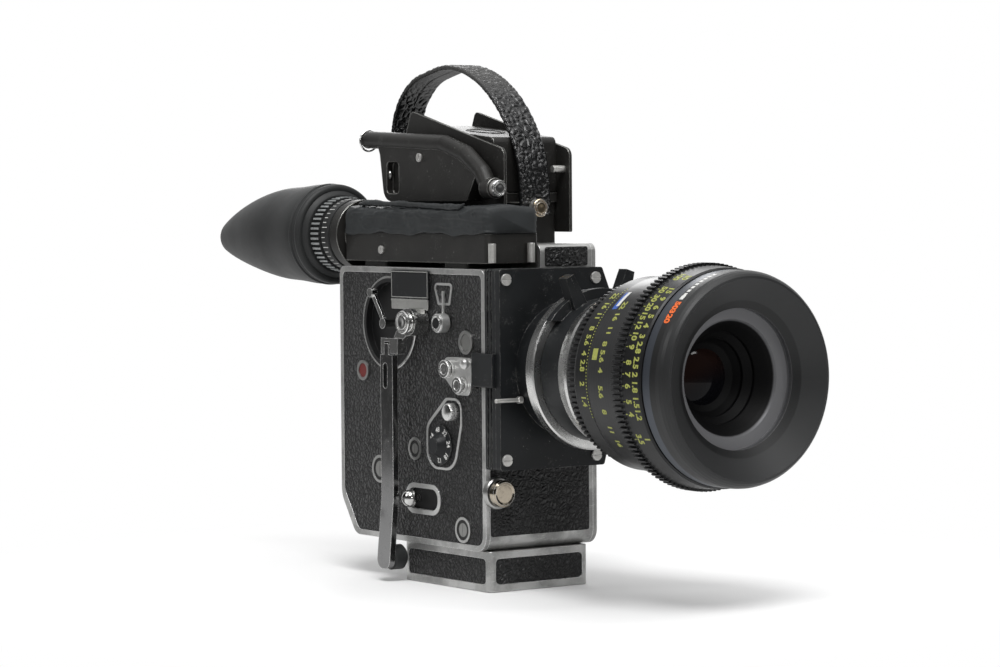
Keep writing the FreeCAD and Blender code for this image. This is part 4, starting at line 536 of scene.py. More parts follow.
class STAGE_OT_build(bpy.types.Operator):
    """Camera, lights and the pale floor"""

    bl_idname = "camera_looks.stage"
    bl_label = "Stage"

    azimuth, pitch, roll = (math.radians(v) for v in (-35.66, -2.57, -0.42))
    forward = Vector((-math.sin(azimuth), math.cos(azimuth), math.tan(pitch))).normalized()

    def execute(self, context):
        self.camera(context.scene)
        self.floor()
        self.world(context.scene)
        self.lights()
        context.scene.view_settings.view_transform = "Standard"
        return {"FINISHED"}

    def camera(self, scene):
        level = Vector((math.cos(self.azimuth), math.sin(self.azimuth), 0.0))
        upright = level.cross(self.forward)
        c, s = math.cos(self.roll), math.sin(self.roll)
        right, up = c * level + s * upright, c * upright - s * level
        data = bpy.data.cameras.new("view")
        data.lens = 119.41
        data.sensor_width = 36.0
        data.clip_start = 0.05
        data.clip_end = 60.0
        view = bpy.data.objects.new("view", data)
        axes = Matrix((right, up, -self.forward)).transposed().to_4x4()
        view.matrix_world = Matrix.Translation((-1.22346, -1.71014, 0.25228)) @ axes
        scene.collection.objects.link(view)
        scene.camera = view

    def floor(self):
        """A disc of pale paper that keeps the shadow and fades into the white round it."""
        mesh = bmesh.new()
        bmesh.ops.create_circle(mesh, cap_ends=True, segments=96, radius=0.9)
        floor = as_object("floor", mesh)
        floor.location.z = -0.0004
        f = Finish("floor_paper", Specular_IOR_Level=0.1)
        tone = colours().floor
        x, y, z = f.axes()
        soft = f.noise(3.0, 3, 0.5)
        f.paint(Base_Color=f.mix(soft, tone, shade(tone, 0.985)), Roughness=0.85 + 0.1 * soft)
        away = reach(x, 0.0, y, 0.0).over(0.14, 0.4) * f.shown()
        glow = f.node("ShaderNodeEmission", {}, {"Strength": 1.0})
        f.surface(away, Field(f, f.shader.outputs[0]), glow)
        floor.data.materials.append(f.material)

    def world(self, scene):
        """A white background to the eye; metal mirrors it ahead, and a dim room elsewhere."""
        world = bpy.data.worlds.new("studio")
        scene.world = world
        world.use_nodes = True
        s = Shading(world.node_tree, "ShaderNodeOutputWorld")
        way = s.node("ShaderNodeTexCoord", {}, {}, "Generated")
        up = s.node("ShaderNodeSeparateXYZ", {}, {0: way}, "Z") * 0.5 + 0.5
        greys = ((0.0, 0.3), (0.42, 0.22), (0.475, 0.05), (0.6, 0.035))
        greys += ((0.74, 0.07), (0.85, 0.5), (0.94, 0.95))
        stops = [(at, (grey, grey, grey)) for at, grey in greys]
        room = s.node("ShaderNodeValToRGB", {"stops": stops}, {0: up})
        ahead = s.vector("DOT_PRODUCT", {0: way, 1: tuple(self.forward)}, "Value").over(0.3, 0.7)
        clear = ahead.most(s.ray("Is Camera Ray"))
        seen = s.node("ShaderNodeBackground", {}, {"Color": s.mix(clear, room, WHITE)})
        lit = s.node("ShaderNodeBackground", {}, {"Color": WHITE, "Strength": 0.4})
        s.surface(s.shown(), lit, seen)

    def lights(self):
        sun = bpy.data.lights.new("daylight", "SUN")
        sun.energy = 1.7
        sun.angle = math.radians(24)
        self.aim(sun, (-1.2, -1.6, 3.4))
        for name, place, width, height, power in (
            ("overhead", (0.1, -0.5, 1.7), 1.2, 0.9, 9.0),
            ("left_lamp", (-1.7, 0.5, 1.3), 0.35, 0.5, 6.0),
            ("front_lamp", (0.7, -1.8, 1.4), 0.4, 0.3, 7.0),
            ("low_lamp", (-0.4, -2.2, 0.7), 0.25, 0.2, 2.5),
            ("back_strip", (1.0, 1.6, 1.1), 0.4, 1.4, 8.0),
        ):
            box = bpy.data.lights.new(name, "AREA")
            box.shape = "RECTANGLE"
            box.size, box.size_y, box.energy = width, height, power
            self.aim(box, place)

    def aim(self, lamp, place):
        """Puts a lamp at a place and turns it to the middle of the camera."""
        thing = bpy.data.objects.new(lamp.name, lamp)
        thing.location = place
        toward = Vector((0.0, 0.0, 0.16)) - thing.location
        thing.rotation_euler = toward.to_track_quat("-Z", "Y").to_euler()
        bpy.context.scene.collection.objects.link(thing)


# Mesh helpers


def as_object(name, mesh, smooth=True):
    """A bmesh as an object of the scene."""
    data = bpy.data.meshes.new(name)
    mesh.to_mesh(data)
    mesh.free()
    if smooth:
        data.polygons.foreach_set("use_smooth", [True] * len(data.polygons))
    thing = bpy.data.objects.new(name, data)
    bpy.context.scene.collection.objects.link(thing)
    return thing


def dress(thing, material, body="body", replaces=()):
    """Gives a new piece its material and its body."""
    thing.data.materials.append(material)
    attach(thing, body)
    if replaces:
        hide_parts(*replaces)
    return thing


def repaint(material, nodes):
    """Puts a material on CAD nodes whose shape is right; their names are parted by spaces."""
    for name in nodes.split():
        materials = NODES[name].data.materials
        if not materials:
            materials.append(material)
        for i in range(len(materials)):
            materials[i] = material


def turns(count):
    """Even steps round a circle, in radians."""
    return [math.tau * i / count for i in range(count)]


def spoke(turn):
    """A way out from an axis that runs along Y."""
    return Vector((math.cos(turn), 0.0, math.sin(turn)))


def smooth_step(value, low, high):
    """0 below low and 1 above high, with a smooth run between."""
    t = min(1.0, max(0.0, (value - low) / (high - low)))
    return t * t * (3 - 2 * t)


def recalc(mesh):
    bmesh.ops.recalc_face_normals(mesh, faces=mesh.faces)
    return mesh


def loft(loops, joined=False, capped=True):
    """A bmesh through closed loops of points; its ends are joined, capped or left open."""
    mesh = bmesh.new()
    verts = [[mesh.verts.new(p) for p in loop] for loop in loops]
    for j in range(len(verts) if joined else len(verts) - 1):
        first, second = verts[j], verts[(j + 1) % len(verts)]
        for i in range(len(first)):
            k = (i + 1) % len(first)
            mesh.faces.new((first[i], first[k], second[k], second[i]))
    recalc(mesh)
    if capped:
        bmesh.ops.holes_fill(mesh, edges=mesh.edges, sides=0)
    return mesh


def lathe(profile, centre, axis, around, wave=None, hollow=False):
    """A turned shape from rows of (along, radius, relief) in millimetres; a wave cuts the relief."""
    axis = Vector(axis)
    first = axis.orthogonal().normalized()
    second = axis.cross(first)
    rows = []
    for along, radius, relief in profile:
        row = []
        for turn in turns(around):
            r = radius - (relief * wave(turn) if wave else 0.0)
            flat = math.cos(turn) * first + math.sin(turn) * second
            row.append((Vector(centre) + axis * along + flat * r) * MM)
        rows.append(row)
    mesh = loft(rows, joined=hollow, capped=False)
    bmesh.ops.remove_doubles(mesh, verts=mesh.verts, dist=1e-7)
    bmesh.ops.holes_fill(mesh, edges=mesh.edges, sides=0)
    return recalc(mesh)


def knurl(count):
    """A wave of even ribs round a knob: 0 on a rib and 1 in a groove."""
    return lambda turn: 0.5 - 0.5 * math.cos(turn * count)


def soften(thing, angle=40):
    """Smooth shading that keeps edges sharper than the angle crisp."""
    mesh = bmesh.new()
    mesh.from_mesh(thing.data)
    for edge in mesh.edges:
        edge.smooth = len(edge.link_faces) == 2 and edge.calc_face_angle() < math.radians(angle)
    mesh.to_mesh(thing.data)
    mesh.free()
    return thing


# Finishes of the modelled pieces


class FINISH_OT_apply(bpy.types.Operator):
    """Finishes on every piece whose modelled shape is right"""

    bl_idname = "camera_looks.finishes"
    bl_label = "Finishes"

    def execute(self, context):
        c = colours()
        chrome = polished_metal("chrome_plate", c.chrome)
        # The rings deep inside the hood: matt black, made darker and less shiny than the other blacks
        # as painted shade of the deep tube.
        hood = {"tone": (0.002, 0.002, 0.0022), "rough": 0.5, "specular": 0.15, "wear": 0.08}
        port = {"tone": (0.42, 0.42, 0.41), "metal": 1.0, "rough": 0.24, "edge": 0.0003}
        for material, nodes in (
            (bare_metal("worn_metal", c.bare), "base_block body_casting side_cover film_door"),
            (turned_metal("turned_metal", c.bright, 0.2), "mount_ring lens_flange"),
            (
                bare_metal("satin_bezel", c.bright, 0.26, 0.4, 0.6, 0.00025),
                "control_bezels counter_plate sector_knob",
            ),
            (polished_metal("button_chrome", (0.4, 0.35, 0.28), 0.1), "release_button"),
            (polished_metal("crank_chrome", (0.2, 0.2, 0.2), 0.13, 0.0007), "crank_arm"),
            (chrome, "rewind_lever counter_knob_upper counter_knob_lower dial_lock_knob"),
            (chrome, "clutch_knob crank_hub door_latch_upper door_latch_lower"),
            (chrome, "gate_plate pressure_plate"),
            (
                bare_metal("worn_chrome", (0.78, 0.77, 0.74), 0.3, 0.7, 1.6, 0.0004),
                "plate_fasteners top_fittings",
            ),
            (
                bare_metal("tool_steel", c.steel, 0.3, 0.3, 0.6, 0.0003),
                "tripod_bush iris_blades spring_barrel upper_sprocket lower_sprocket claw",
            ),
            (leather("leatherette", c.leather, sizes().grain, 0.0009), "leather_panels door_leather"),
            (
                black_paint("plate_paint", c.paint, 0.36, 0.7),
                "name_plate speed_dial turret_block mount_plate lock_ring "
                "shutter_disc supply_spool takeup_spool",
            ),
            (
                black_paint("cast_paint", c.cast, 0.36, 1.5, 0.5, 0.0011),
                "finder_box saddle_base guard_plates handle_bracket saddle_cover eyepiece_tube",
            ),
            (lens_black("ring_black", c.lens), "lens_core iris_ring index_sleeve focus_ring"),
            (zoned("front_ring_paint", front_zones), "front_ring"),
            (zoned("hood_paint", hood_zones, **hood), "hood_rings"),
            (zoned("dish_paint", dish_zones, rough=0.4), "dish_cup"),
            (zoned("port_metal", port_zones, **port), "bezel_rings"),
            (zoned("window_paint", window_zones), "window_glasses"),
            (rubber("grip_black", c.rubber, 0.45, 0.2), "crank_grip dioptre_ring"),
            (rubber("eyecup_rubber", c.rubber, 0.42, 0.35), "eyecup"),
            (rubber("cover_rubber", c.cover, 0.5, 0.35), "finder_cover"),
            (coated_glass("lens_glass", (0.004, 0.004, 0.005), (0.02, 0.012, 0.03)), "lens_glass"),
        ):
            repaint(material, nodes)
        return {"FINISHED"}


# Knurled and ribbed pieces


class KNOBS_OT_build(bpy.types.Operator):
    """Knurled knobs of the side and the ribbed dioptre ring"""

    bl_idname = "camera_looks.knobs"
    bl_label = "Knobs"

    # Rows of a knob: how far along it in millimetres, and the share of its radius
    waisted = ((0.9, 0.0), (0.9, 1.0), (2.8, 1.0), (3.1, 0.72), (3.7, 0.72), (4.0, 1.0), (5.6, 1.0))
    waisted += ((6.0, 0.92), (6.0, 0.62), (5.7, 0.58), (5.7, 0.0))
    plain = ((-0.3, 0.0), (-0.3, 1.0), (0.8, 1.0), (4.9, 1.0), (5.6, 0.9), (6.0, 0.7), (5.8, 0.0))

    def execute(self, context):
        chrome = polished_metal("knob_chrome", colours().chrome, 0.14)
        knurls = sizes().knurls
        waisted, plain = (self.waisted, 0.25, knurls), (self.plain, 0.45, 24)
        for name, node, y, z, radius, (rows, relief, ribs) in (
            ("counter_knob_upper_look", "counter_knob_upper", -10.0, 137.5, 5.8, waisted),
            ("counter_knob_lower_look", "counter_knob_lower", -24.0, 128.0, 5.2, waisted),
            ("dial_lock_look", "dial_lock_knob", -12.5, 110.6, 5.6, plain),
        ):
            profile = [(t, r * radius, relief if r == 1.0 else 0.0) for t, r in rows]
            mesh = lathe(profile, (SIDE_X, y, z), LEFT, knurls * 6, knurl(ribs))
            dress(soften(as_object(name, mesh)), chrome, node, (node,))
        self.dioptre()
        return {"FINISHED"}

    def dioptre(self):
        """Black ribs between two rims; the tops of the ribs are light grey and partly metallic, in
        patches.
        """
        ribs = sizes().ribs
        bore, rim, top = 20.3, 23.6, 25.0
        rows = [(0.0, bore), (0.0, rim - 0.6), (0.5, rim), (8.2, rim), (8.7, rim - 1.6)]
        rows += [(9.8, rim - 1.6), (10.2, top), (10.9, top), (18.2, top), (18.9, top)]
        rows += [(19.4, rim), (20.3, rim - 0.6), (20.3, bore)]
        profile = [(t, r, 1.5 if r == top else 0.0) for t, r in rows]
        wave = knurl(ribs)
        square = lambda turn: min(1.0, max(0.0, (wave(turn) - 0.4) / 0.2))
        mesh = lathe(profile, (EYE_X / MM, 127.85, EYE_Z / MM), BACK, ribs * 12, square, hollow=True)
        f = Finish("light_topped_ribs", Specular_IOR_Level=0.3)
        x, y, z = f.axes()
        spots = f.noise(420, 3, 0.7)
        # The tops of the ribs turn light grey and partly metallic, in patches.
        rubbed = reach(x, EYE_X, z, EYE_Z).over(0.0243, 0.0248) * spots.over(0.2, 0.5)
        f.paint(
            Base_Color=f.mix(rubbed, colours().rubber, (0.5, 0.52, 0.52)),
            Roughness=0.42 - 0.14 * rubbed + 0.2 * spots,
            Metallic=rubbed * 0.6,
            Normal=f.bump(spots, 0.00004, 0.5),
        )
        ring = soften(as_object("dioptre_look", mesh))
        dress(ring, f.material, "dioptre_ring", ("dioptre_ring",))


# Figures and lines laid on the surface of pieces


class Skin:
    """The outer surface of a node, on which figures are laid."""

    def __init__(self, node):
        data = NODES[node].data
        faces = [tuple(p.vertices) for p in data.polygons]
        self.tree = BVHTree.FromPolygons([v.co.copy() for v in data.vertices], faces)

    def land(self, origin, direction, lift):
        """Where a ray meets the surface, a little above it, or None where it passes by."""
        found = self.tree.ray_cast(origin, direction)[0]
        return None if found is None else found - direction * lift


def text_mesh(text, height, bold):
    """Flat glyphs about their own middle: a list of points and a list of faces."""
    curve = bpy.data.curves.new("glyphs", "FONT")
    curve.body = text
    curve.size = height * FONT_SIZE
    curve.align_x = "CENTER"
    curve.align_y = "CENTER"
    curve.offset = bold
    curve.resolution_u = 6
    thing = bpy.data.objects.new("glyphs", curve)
    bpy.context.scene.collection.objects.link(thing)
    made = thing.evaluated_get(bpy.context.evaluated_depsgraph_get()).to_mesh()
    points = [v.co.copy() for v in made.vertices]
    faces = [list(p.vertices) for p in made.polygons]
    bpy.data.objects.remove(thing)
    bpy.data.curves.remove(curve)
    return points, faces


def bar_mesh(width, height, steps=6):
    """A flat bar, cut into strips so that it can bend round the lens."""
    points, faces = [], []
    for i in range(steps + 1):
        u = width * (i / steps - 0.5)
        points += [Vector((u, -height / 2, 0)), Vector((u, height / 2, 0))]
    for i in range(steps):
        faces.append([2 * i, 2 * i + 2, 2 * i + 3, 2 * i + 1])
    return points, faces


def thicken(mesh):
    """Gives flat marks a thickness towards the piece they are painted on."""
    mesh.normal_update()
    bmesh.ops.solidify(mesh, geom=mesh.faces[:], thickness=0.00012)
    return recalc(mesh)


class Sign(Skin):
    """Gathers marks that lie on one node and turns them into a mesh."""

    def __init__(self, node, lift):
        super().__init__(node)
        self.lift = lift
        self.mesh = bmesh.new()

    def around_lens(self, shape, turn, y, radius):
        """Lays a flat shape on the lens: its top points to the front and its right runs round."""
        laid = []
        for p in shape[0]:
            out = spoke(math.radians(turn) + p.x / radius)
            start = Vector((LENS_X, y - p.y, LENS_Z)) + out * 0.12
            laid.append(self.land(start, -out, self.lift))
        self.add(laid, shape[1])

    def on_side(self, shape, y, z, lean):
        """Lays a flat shape on a face towards -X: its right points to -Y."""
        turned = Matrix.Rotation(lean, 3, "Z")
        laid = []
        for p in shape[0]:
            p = turned @ p
            laid.append(self.land(Vector((-0.1, y - p.x, z + p.y)), -Vector(LEFT), self.lift))
        self.add(laid, shape[1])

    def add(self, laid, faces):
        """Adds the faces whose corners have all landed."""
        verts = [self.mesh.verts.new(p) if p is not None else None for p in laid]
        for face in faces:
            corners = [verts[i] for i in face]
            if None not in corners:
                self.mesh.faces.new(corners)

    def finish(self, name, material, body):
        loose = [v for v in self.mesh.verts if not v.link_faces]
        bmesh.ops.delete(self.mesh, geom=loose, context="VERTS")
        return dress(as_object(name, thicken(self.mesh), False), material, body)


class FIGURES_OT_build(bpy.types.Operator):
    """Figures and index lines of the lens, the dial and the eyepiece"""

    bl_idname = "camera_looks.figures"
    bl_label = "Figures"

    # Turns round the lens in degrees, each with its text or its two texts
    iris = ((125.5, "22"), (133.8, "16"), (141.8, "11"), (150.3, "8"), (157.6, "5.6"))
    iris += ((165.7, "4"), (172.9, "2.8"), (183.5, "2"), (193.7, "1.4"))
    sleeve = ((135, "22"), (143, "16"), (152, "11"), (160, "8"), (167, "5.6"))
    sleeve += ((175, "4"), (187, "5.6"), (198.5, "8"), (209.6, "11"), (219, "16"))
    focus = (
        (114, "100", "30"), (126.5, "50", "15"), (133, "30", "9"), (139, "20", "6"),
        (144.5, "15", "5"), (150, "12", "4"), (156, "10", "3"), (162, "9", "2.8"), (170, "8", "2.5"),
        (176, "7", "2"), (182, "6", "1.8"), (190, "5", "1.5"), (196.6, "4", "1.2"), (210.6, "3.5", "1"),
    )
    front = ((136.0, "50"), (140.0, "3"), (144.6, "20"))

    def execute(self, context):
        c, height, lift = colours(), sizes().figure, sizes().relief
        yellow = figure_paint("figure_yellow", c.figures)
        white = figure_paint("figure_white", c.marks)
        orange = figure_paint("figure_orange", c.accent)
        blue = figure_paint("figure_blue", (0.05, 0.12, 0.42))

        # A mark is a shape, its turn in degrees, its place along Y and the ring's radius there
        def texts(rows, share, bold, y, radius):
            return [(text_mesh(text, height * share, bold), turn, y, radius) for turn, text in rows]

        iris = texts(self.iris, 0.78, 0.00016, -0.1502, 0.0586)
        iris += [(bar_mesh(0.0007, 0.0008, 1), 118 + i * 1.9, -0.1545, 0.0586) for i in range(46)]
        sleeve = texts(self.sleeve, 0.84, 0.0002, -0.1704, 0.0605)
        sleeve += [(bar_mesh(0.0068, 0.0052), 166, -0.1627, 0.0596)]
        focus = texts([(turn, near) for turn, near, far in self.focus], 0.8, 0.0002, -0.2030, 0.0658)
        focus += texts([(turn, far) for turn, near, far in self.focus], 0.8, 0.0002, -0.2092, 0.0655)
        focus += [(bar_mesh(0.0004, 0.0016, 1), row[0], -0.1994, 0.0658) for row in self.focus]
        dashes = [(bar_mesh(0.0022, 0.0026, 2), 106 + i * 3.1, -0.2237, 0.0638) for i in range(8)]
        dashes += [(bar_mesh(0.0034, 0.0034, 3), 130.2, -0.2237, 0.0638)]
        line = [(bar_mesh(0.0124, 0.0030), 129.3, -0.1646, 0.0596)]
        shadow = [(bar_mesh(0.0146, 0.0050), 130.4, -0.1632, 0.0596)]
        front = texts(self.front, 0.84, 0.0003, -0.2237, 0.0638)
        for name, node, above, marks, paint, body in (
            ("iris_figures", "iris_ring", lift, iris, yellow, "iris_ring"),
            ("sleeve_figures", "index_sleeve", lift, sleeve, yellow, "body"),
            ("index_line", "index_sleeve", lift * 2, line, white, "body"),
            ("index_shadow", "index_sleeve", lift, shadow, blue, "body"),
            ("focus_figures", "focus_ring", lift, focus, yellow, "focus_ring"),
            ("front_figures", "front_ring", lift, front, orange, "body"),
            ("front_marks", "front_ring", lift, dashes, white, "body"),
        ):
            sign = Sign(node, above)
            for mark in marks:
                sign.around_lens(*mark)
            sign.finish(name, paint, body)
        self.dial(white, lift)
        self.eyepiece(white, lift)
        return {"FINISHED"}

    def dial(self, white, lift):
        """Frame rates round the speed dial."""
        sign = Sign("speed_dial", lift)
        middle_y, middle_z, ring = 2.2, 89.0, 9.6
        for i, text in enumerate(("64", "48", "32", "24", "18", "12")):
            lean = math.radians(150 - i * 48)
            y, z = middle_y - ring * math.cos(lean), middle_z + ring * math.sin(lean)
            sign.on_side(text_mesh(text, 0.0031, 0.00006), y * MM, z * MM, lean - math.pi / 2)
        sign.finish("dial_figures", white, "speed_dial")

    def eyepiece(self, white, lift):
        """White ticks round the smooth half of the dioptre ring."""
        mesh = bmesh.new()
        ticks, half_width, start_y, radius = 44, 0.22, 135.2, 0.0236
        for i in range(ticks):
            out = spoke(math.tau * (i + 0.5) / ticks)
            right = out.cross(Vector(BACK)) * MM
            end = 5.6 if i % 4 == 0 else 3.6
            row = []
            for side, along in ((-1, 0.0), (1, 0.0), (1, end), (-1, end)):
                place = Vector((EYE_X, (start_y - along) * MM, EYE_Z)) + out * (radius + lift)
                row.append(mesh.verts.new(place + right * side * half_width))
            mesh.faces.new(row)
        dress(as_object("dioptre_ticks", thicken(mesh), False), white, "dioptre_ring")


# Soft pieces


def rounded_path(corners, step):
    """Places and directions every step along a polyline whose corners are arcs: (y, z, radius)."""
    dense = []
    for i, (y, z, radius) in enumerate(corners):
        here = Vector((y, z))
        if radius == 0:
            dense.append(here)
            continue
        before = (here - Vector(corners[i - 1][:2])).normalized()
        after = (Vector(corners[i + 1][:2]) - here).normalized()
        bend = before.angle(after)
        cut = radius * math.tan(bend / 2)
        centre = here + (after - before).normalized() * radius / math.cos(bend / 2)
        start, end = here - before * cut - centre, here + after * cut - centre
        for k in range(25):
            first, last = math.sin((1 - k / 24) * bend), math.sin(k / 24 * bend)
            dense.append(centre + (start * first + end * last) / math.sin(bend))
    lengths = [0.0]
    for a, b in zip(dense, dense[1:]):
        lengths.append(lengths[-1] + (b - a).length)
    count = int(lengths[-1] / step)
    path, k = [], 0
    for i in range(count + 1):
        want = lengths[-1] * i / count
        while k < len(dense) - 2 and lengths[k + 1] < want:
            k += 1
        span = max(lengths[k + 1] - lengths[k], 1e-9)
        path.append(dense[k].lerp(dense[k + 1], (want - lengths[k]) / span))
    ways = [path[min(count, i + 1)] - path[max(0, i - 1)] for i in range(count + 1)]
    return [(place, way.normalized()) for place, way in zip(path, ways)]


def pebbles(place, size):
    """Height of pebbled leather, 0 in a crease and 1 on a pebble."""
    bend = noise.noise_vector(place * (0.6 / size)) * (0.35 * size)
    near = noise.voronoi((place + bend) * (1.0 / size))[0]
    return smooth_step(near[1] - near[0], 0.0, 0.36)


class STRAP_OT_build(bpy.types.Operator):
    """The pebbled leather strap, worn smooth on top"""

    bl_idname = "camera_looks.strap"
    bl_label = "Strap"

    # Corners of the strap's middle line along Y and Z and the radius of each bend, in millimetres
    corners = (
        (-22.0, 233.0, 0), (-21.4, 269.0, 70), (11.0, 317.0, 90), (58.0, 330.0, 60),
        (108.0, 319.0, 44), (126.0, 284.0, 26), (104.0, 255.0, 28), (86.0, 245.0, 0),
    )
    middle_x = 15.5
    half_width = 11.7
    half = 1.35
    edge_radius = 1.3

    def execute(self, context):
        # The noise that bends the pebbles starts from the clock unless it has a seed
        noise.seed_set(7)
        grain = sizes().strap_grain / MM
        loop = self.section()
        rows = []
        for place, along in rounded_path(self.corners, 0.55):
            across = Vector((0.0, along.y, -along.x))
            row = []
            for u, v, nu, nv in loop:
                point = Vector((self.middle_x + u, place.x, place.y)) + across * v
                normal = Vector((nu, 0, 0)) + across * nv
                worn = smooth_step(point.z, 304, 326) * (1 if nv > 0 else 0.3)
                edge = 0.45 + 0.55 * smooth_step(self.half_width - abs(u), 0.2, 1.6)
                rise = pebbles(point, grain) * (0.7 - 0.62 * worn) * edge
                groove = math.exp(-((u / 0.55) ** 2)) * 0.5 if nv > 0.5 else 0.0
                row.append((point + normal * (rise - groove)) * MM)
            rows.append(row)
        strap = as_object("strap_look", loft(rows))
        dress(strap, self.hide(sizes().strap_grain), "body", ("strap",))
        return {"FINISHED"}

    def section(self):
        """Points and normals round a flat section with rounded edges."""
        wide = self.half_width - self.edge_radius
        loop = [(wide * (i / 21 - 1), self.half, 0.0, 1.0) for i in range(43)]
        for i in range(1, 8):
            c, s = math.cos(math.pi * (0.5 - i / 8)), math.sin(math.pi * (0.5 - i / 8))
            loop.append((wide + self.edge_radius * c, self.half * s, c, s))
        return loop + [tuple(-n for n in point) for point in loop]

    def hide(self, size):
        """Black leather with fine pores, dull and paler where it is worn on top."""
        f = Finish("strap_hide", Specular_IOR_Level=0.5)
        x, y, z = f.axes()
        fine = f.cells(3.2 / size, "DISTANCE_TO_EDGE")
        pores = f.noise(2200, 2, 0.7)
        cloud = f.noise(70, 3, 0.6)
        worn = z.over(0.305, 0.326)
        tone = f.mix(cloud.over(0.4, 0.7), colours().strap, shade(colours().strap, 1.5))
        height = fine.over(0.0, 0.25) * 0.2 + pores * 0.15 + cloud * 0.4
        return f.paint(
            Base_Color=f.mix(worn * 0.7, tone, (0.045, 0.044, 0.042)),
            Roughness=0.17 + 0.3 * worn + 0.2 * pores - 0.06 * cloud,
            Normal=f.bump(height, 0.00018, 0.6),
        )


class COVER_OT_build(bpy.types.Operator):
    """The soft rubber cover of the finder, with its folds and wavy hem"""

    bl_idname = "camera_looks.cover"
    bl_label = "Finder cover"

    # The cover's box, the radius of its top edges and the middle it shrinks to, in millimetres
    left, right, near, far, low, top = -39.2, 1.6, -46.2, 116.0, 222.1, 237.6
    edge_radius = 4.2
    middle_x, middle_z = -18.8, 229.0

    # The rolled crease along the top edge: x, y, z and radius
    crease = (
        (-33.5, 104, 240.4, 1.0), (-34, 95, 241.0, 2.0), (-34.6, 84, 241.0, 2.1), (-35, 70, 240.3, 1.6),
        (-35, 55, 240.6, 2.0), (-35.4, 38, 239.7, 1.8), (-35.8, 20, 239.0, 1.9), (-36.4, 4, 238.6, 1.9),
        (-37.2, -8, 238.4, 2.1), (-37.6, -15, 238.6, 1.7), (-37.0, -20, 240.4, 0.5),
    )

    def execute(self, context):
        rows = []
        length = self.far - self.near
        for j in range(181):
            t = j / 180
            end = min(1.0, min(t, 1 - t) * length / 5.0)
            tuck = 5.0 * (1 - math.sqrt(max(0.0, 1 - (1 - end) ** 2)))
            y = self.near + length * t
            rows.append([self.skin(u, v, nu, nv, y, tuck) for u, v, nu, nv in self.section()])
        cover = as_object("finder_cover_look", loft(rows))
        soft = rubber("soft_cover", colours().cover, 0.46, 0.5, 0.00005)
        dress(cover, soft, "body", ("finder_cover",))
        dress(as_object("cover_roll", loft(self.roll())), soft, "body")
        return {"FINISHED"}

    def section(self):
        """Points and outward directions round the cover, from the left hem over the top."""
        r = self.edge_radius
        high, wide = self.top - r - self.low, self.right - self.left
        loop = [(self.left, self.low + high * i / 14, -1.0, 0.0) for i in range(14)]
        loop += self.corner(self.left + r, math.pi)
        loop += [(self.left + r + (wide - 2 * r) * i / 30, self.top, 0.0, 1.0) for i in range(30)]
        loop += self.corner(self.right - r, math.pi / 2)
        loop += [(self.right, self.top - r - high * i / 14, 1.0, 0.0) for i in range(15)]
        loop += [(self.right - wide * i / 12, self.low, 0.0, -1.0) for i in range(1, 12)]
        return loop

    def corner(self, x, start):
        """A top edge about its own x: a quarter turn, down from its start."""
        r, loop = self.edge_radius, []
        for i in range(8):
            c, s = math.cos(start - math.pi / 16 * i), math.sin(start - math.pi / 16 * i)
            loop.append((x + r * c, self.top - r + r * s, c, s))
        return loop

    def skin(self, x, z, nx, nz, y, tuck):
        """A point of the section, moved by folds, by the crown of the top and by the tucked ends."""
        place = Vector((x, y, z))
        wide = noise.noise(place * 0.045 + Vector((3.1, 0.4, 7.7)))
        fold = noise.noise(Vector((y * 0.05, z * 0.28, x * 0.03)) + Vector((9.0, 2.0, 1.0)))
        long_fold = noise.noise(Vector((y * 0.022, z * 0.19, 4.0)))
        folds = smooth_step(1 - abs(fold * 2), 0.8, 1.0) * (0.4 + smooth_step(z, 231, 236))
        folds += 1.1 * smooth_step(1 - abs(long_fold * 2), 0.82, 1.0)
        fine = noise.noise(place * 0.14)
        if nz >= -0.5:
            move = 0.9 * wide + 0.6 * folds + 0.14 * fine - 0.4
            x += nx * move
            z += nz * move
        crown = smooth_step(z, 234, 237.5) * (1.3 - abs(x - self.middle_x) / 20.4)
        lift = 2.0 * smooth_step(-y, 0, 34) + 0.8 * smooth_step(y, 84, 110)
        z += crown * (0.7 + 0.6 * math.sin(y * 0.07 + 0.6) + lift)
        if z < 223.2 and nx < 0:
            z += 0.9 * math.sin(y * 0.11) + 0.5 * math.sin(y * 0.27 + 1.0) - 0.6
            x -= 0.35
        x += (self.middle_x - x) * tuck / 22
        z -= max(0.0, z - self.middle_z) * tuck / 9 * 0.7
        return Vector((x, y, z)) * MM

    def roll(self):
        """Loops along the rolled crease."""
        rows = []
        for a, b in zip(self.crease, self.crease[1:]):
            for i in range(10):
                t = i / 10
                s = smooth_step(t, 0.0, 1.0)
                x, y, z, r = (a[n] + (b[n] - a[n]) * (t if n == 1 else s) for n in range(4))
                row = []
                for turn in turns(20):
                    wobble = 1 + 0.25 * noise.noise(Vector((x, y * 0.3, z)) + spoke(turn) * 1.3)
                    row.append((Vector((x, y, z)) + spoke(turn) * r * wobble) * MM)
                rows.append(row)
        return rows


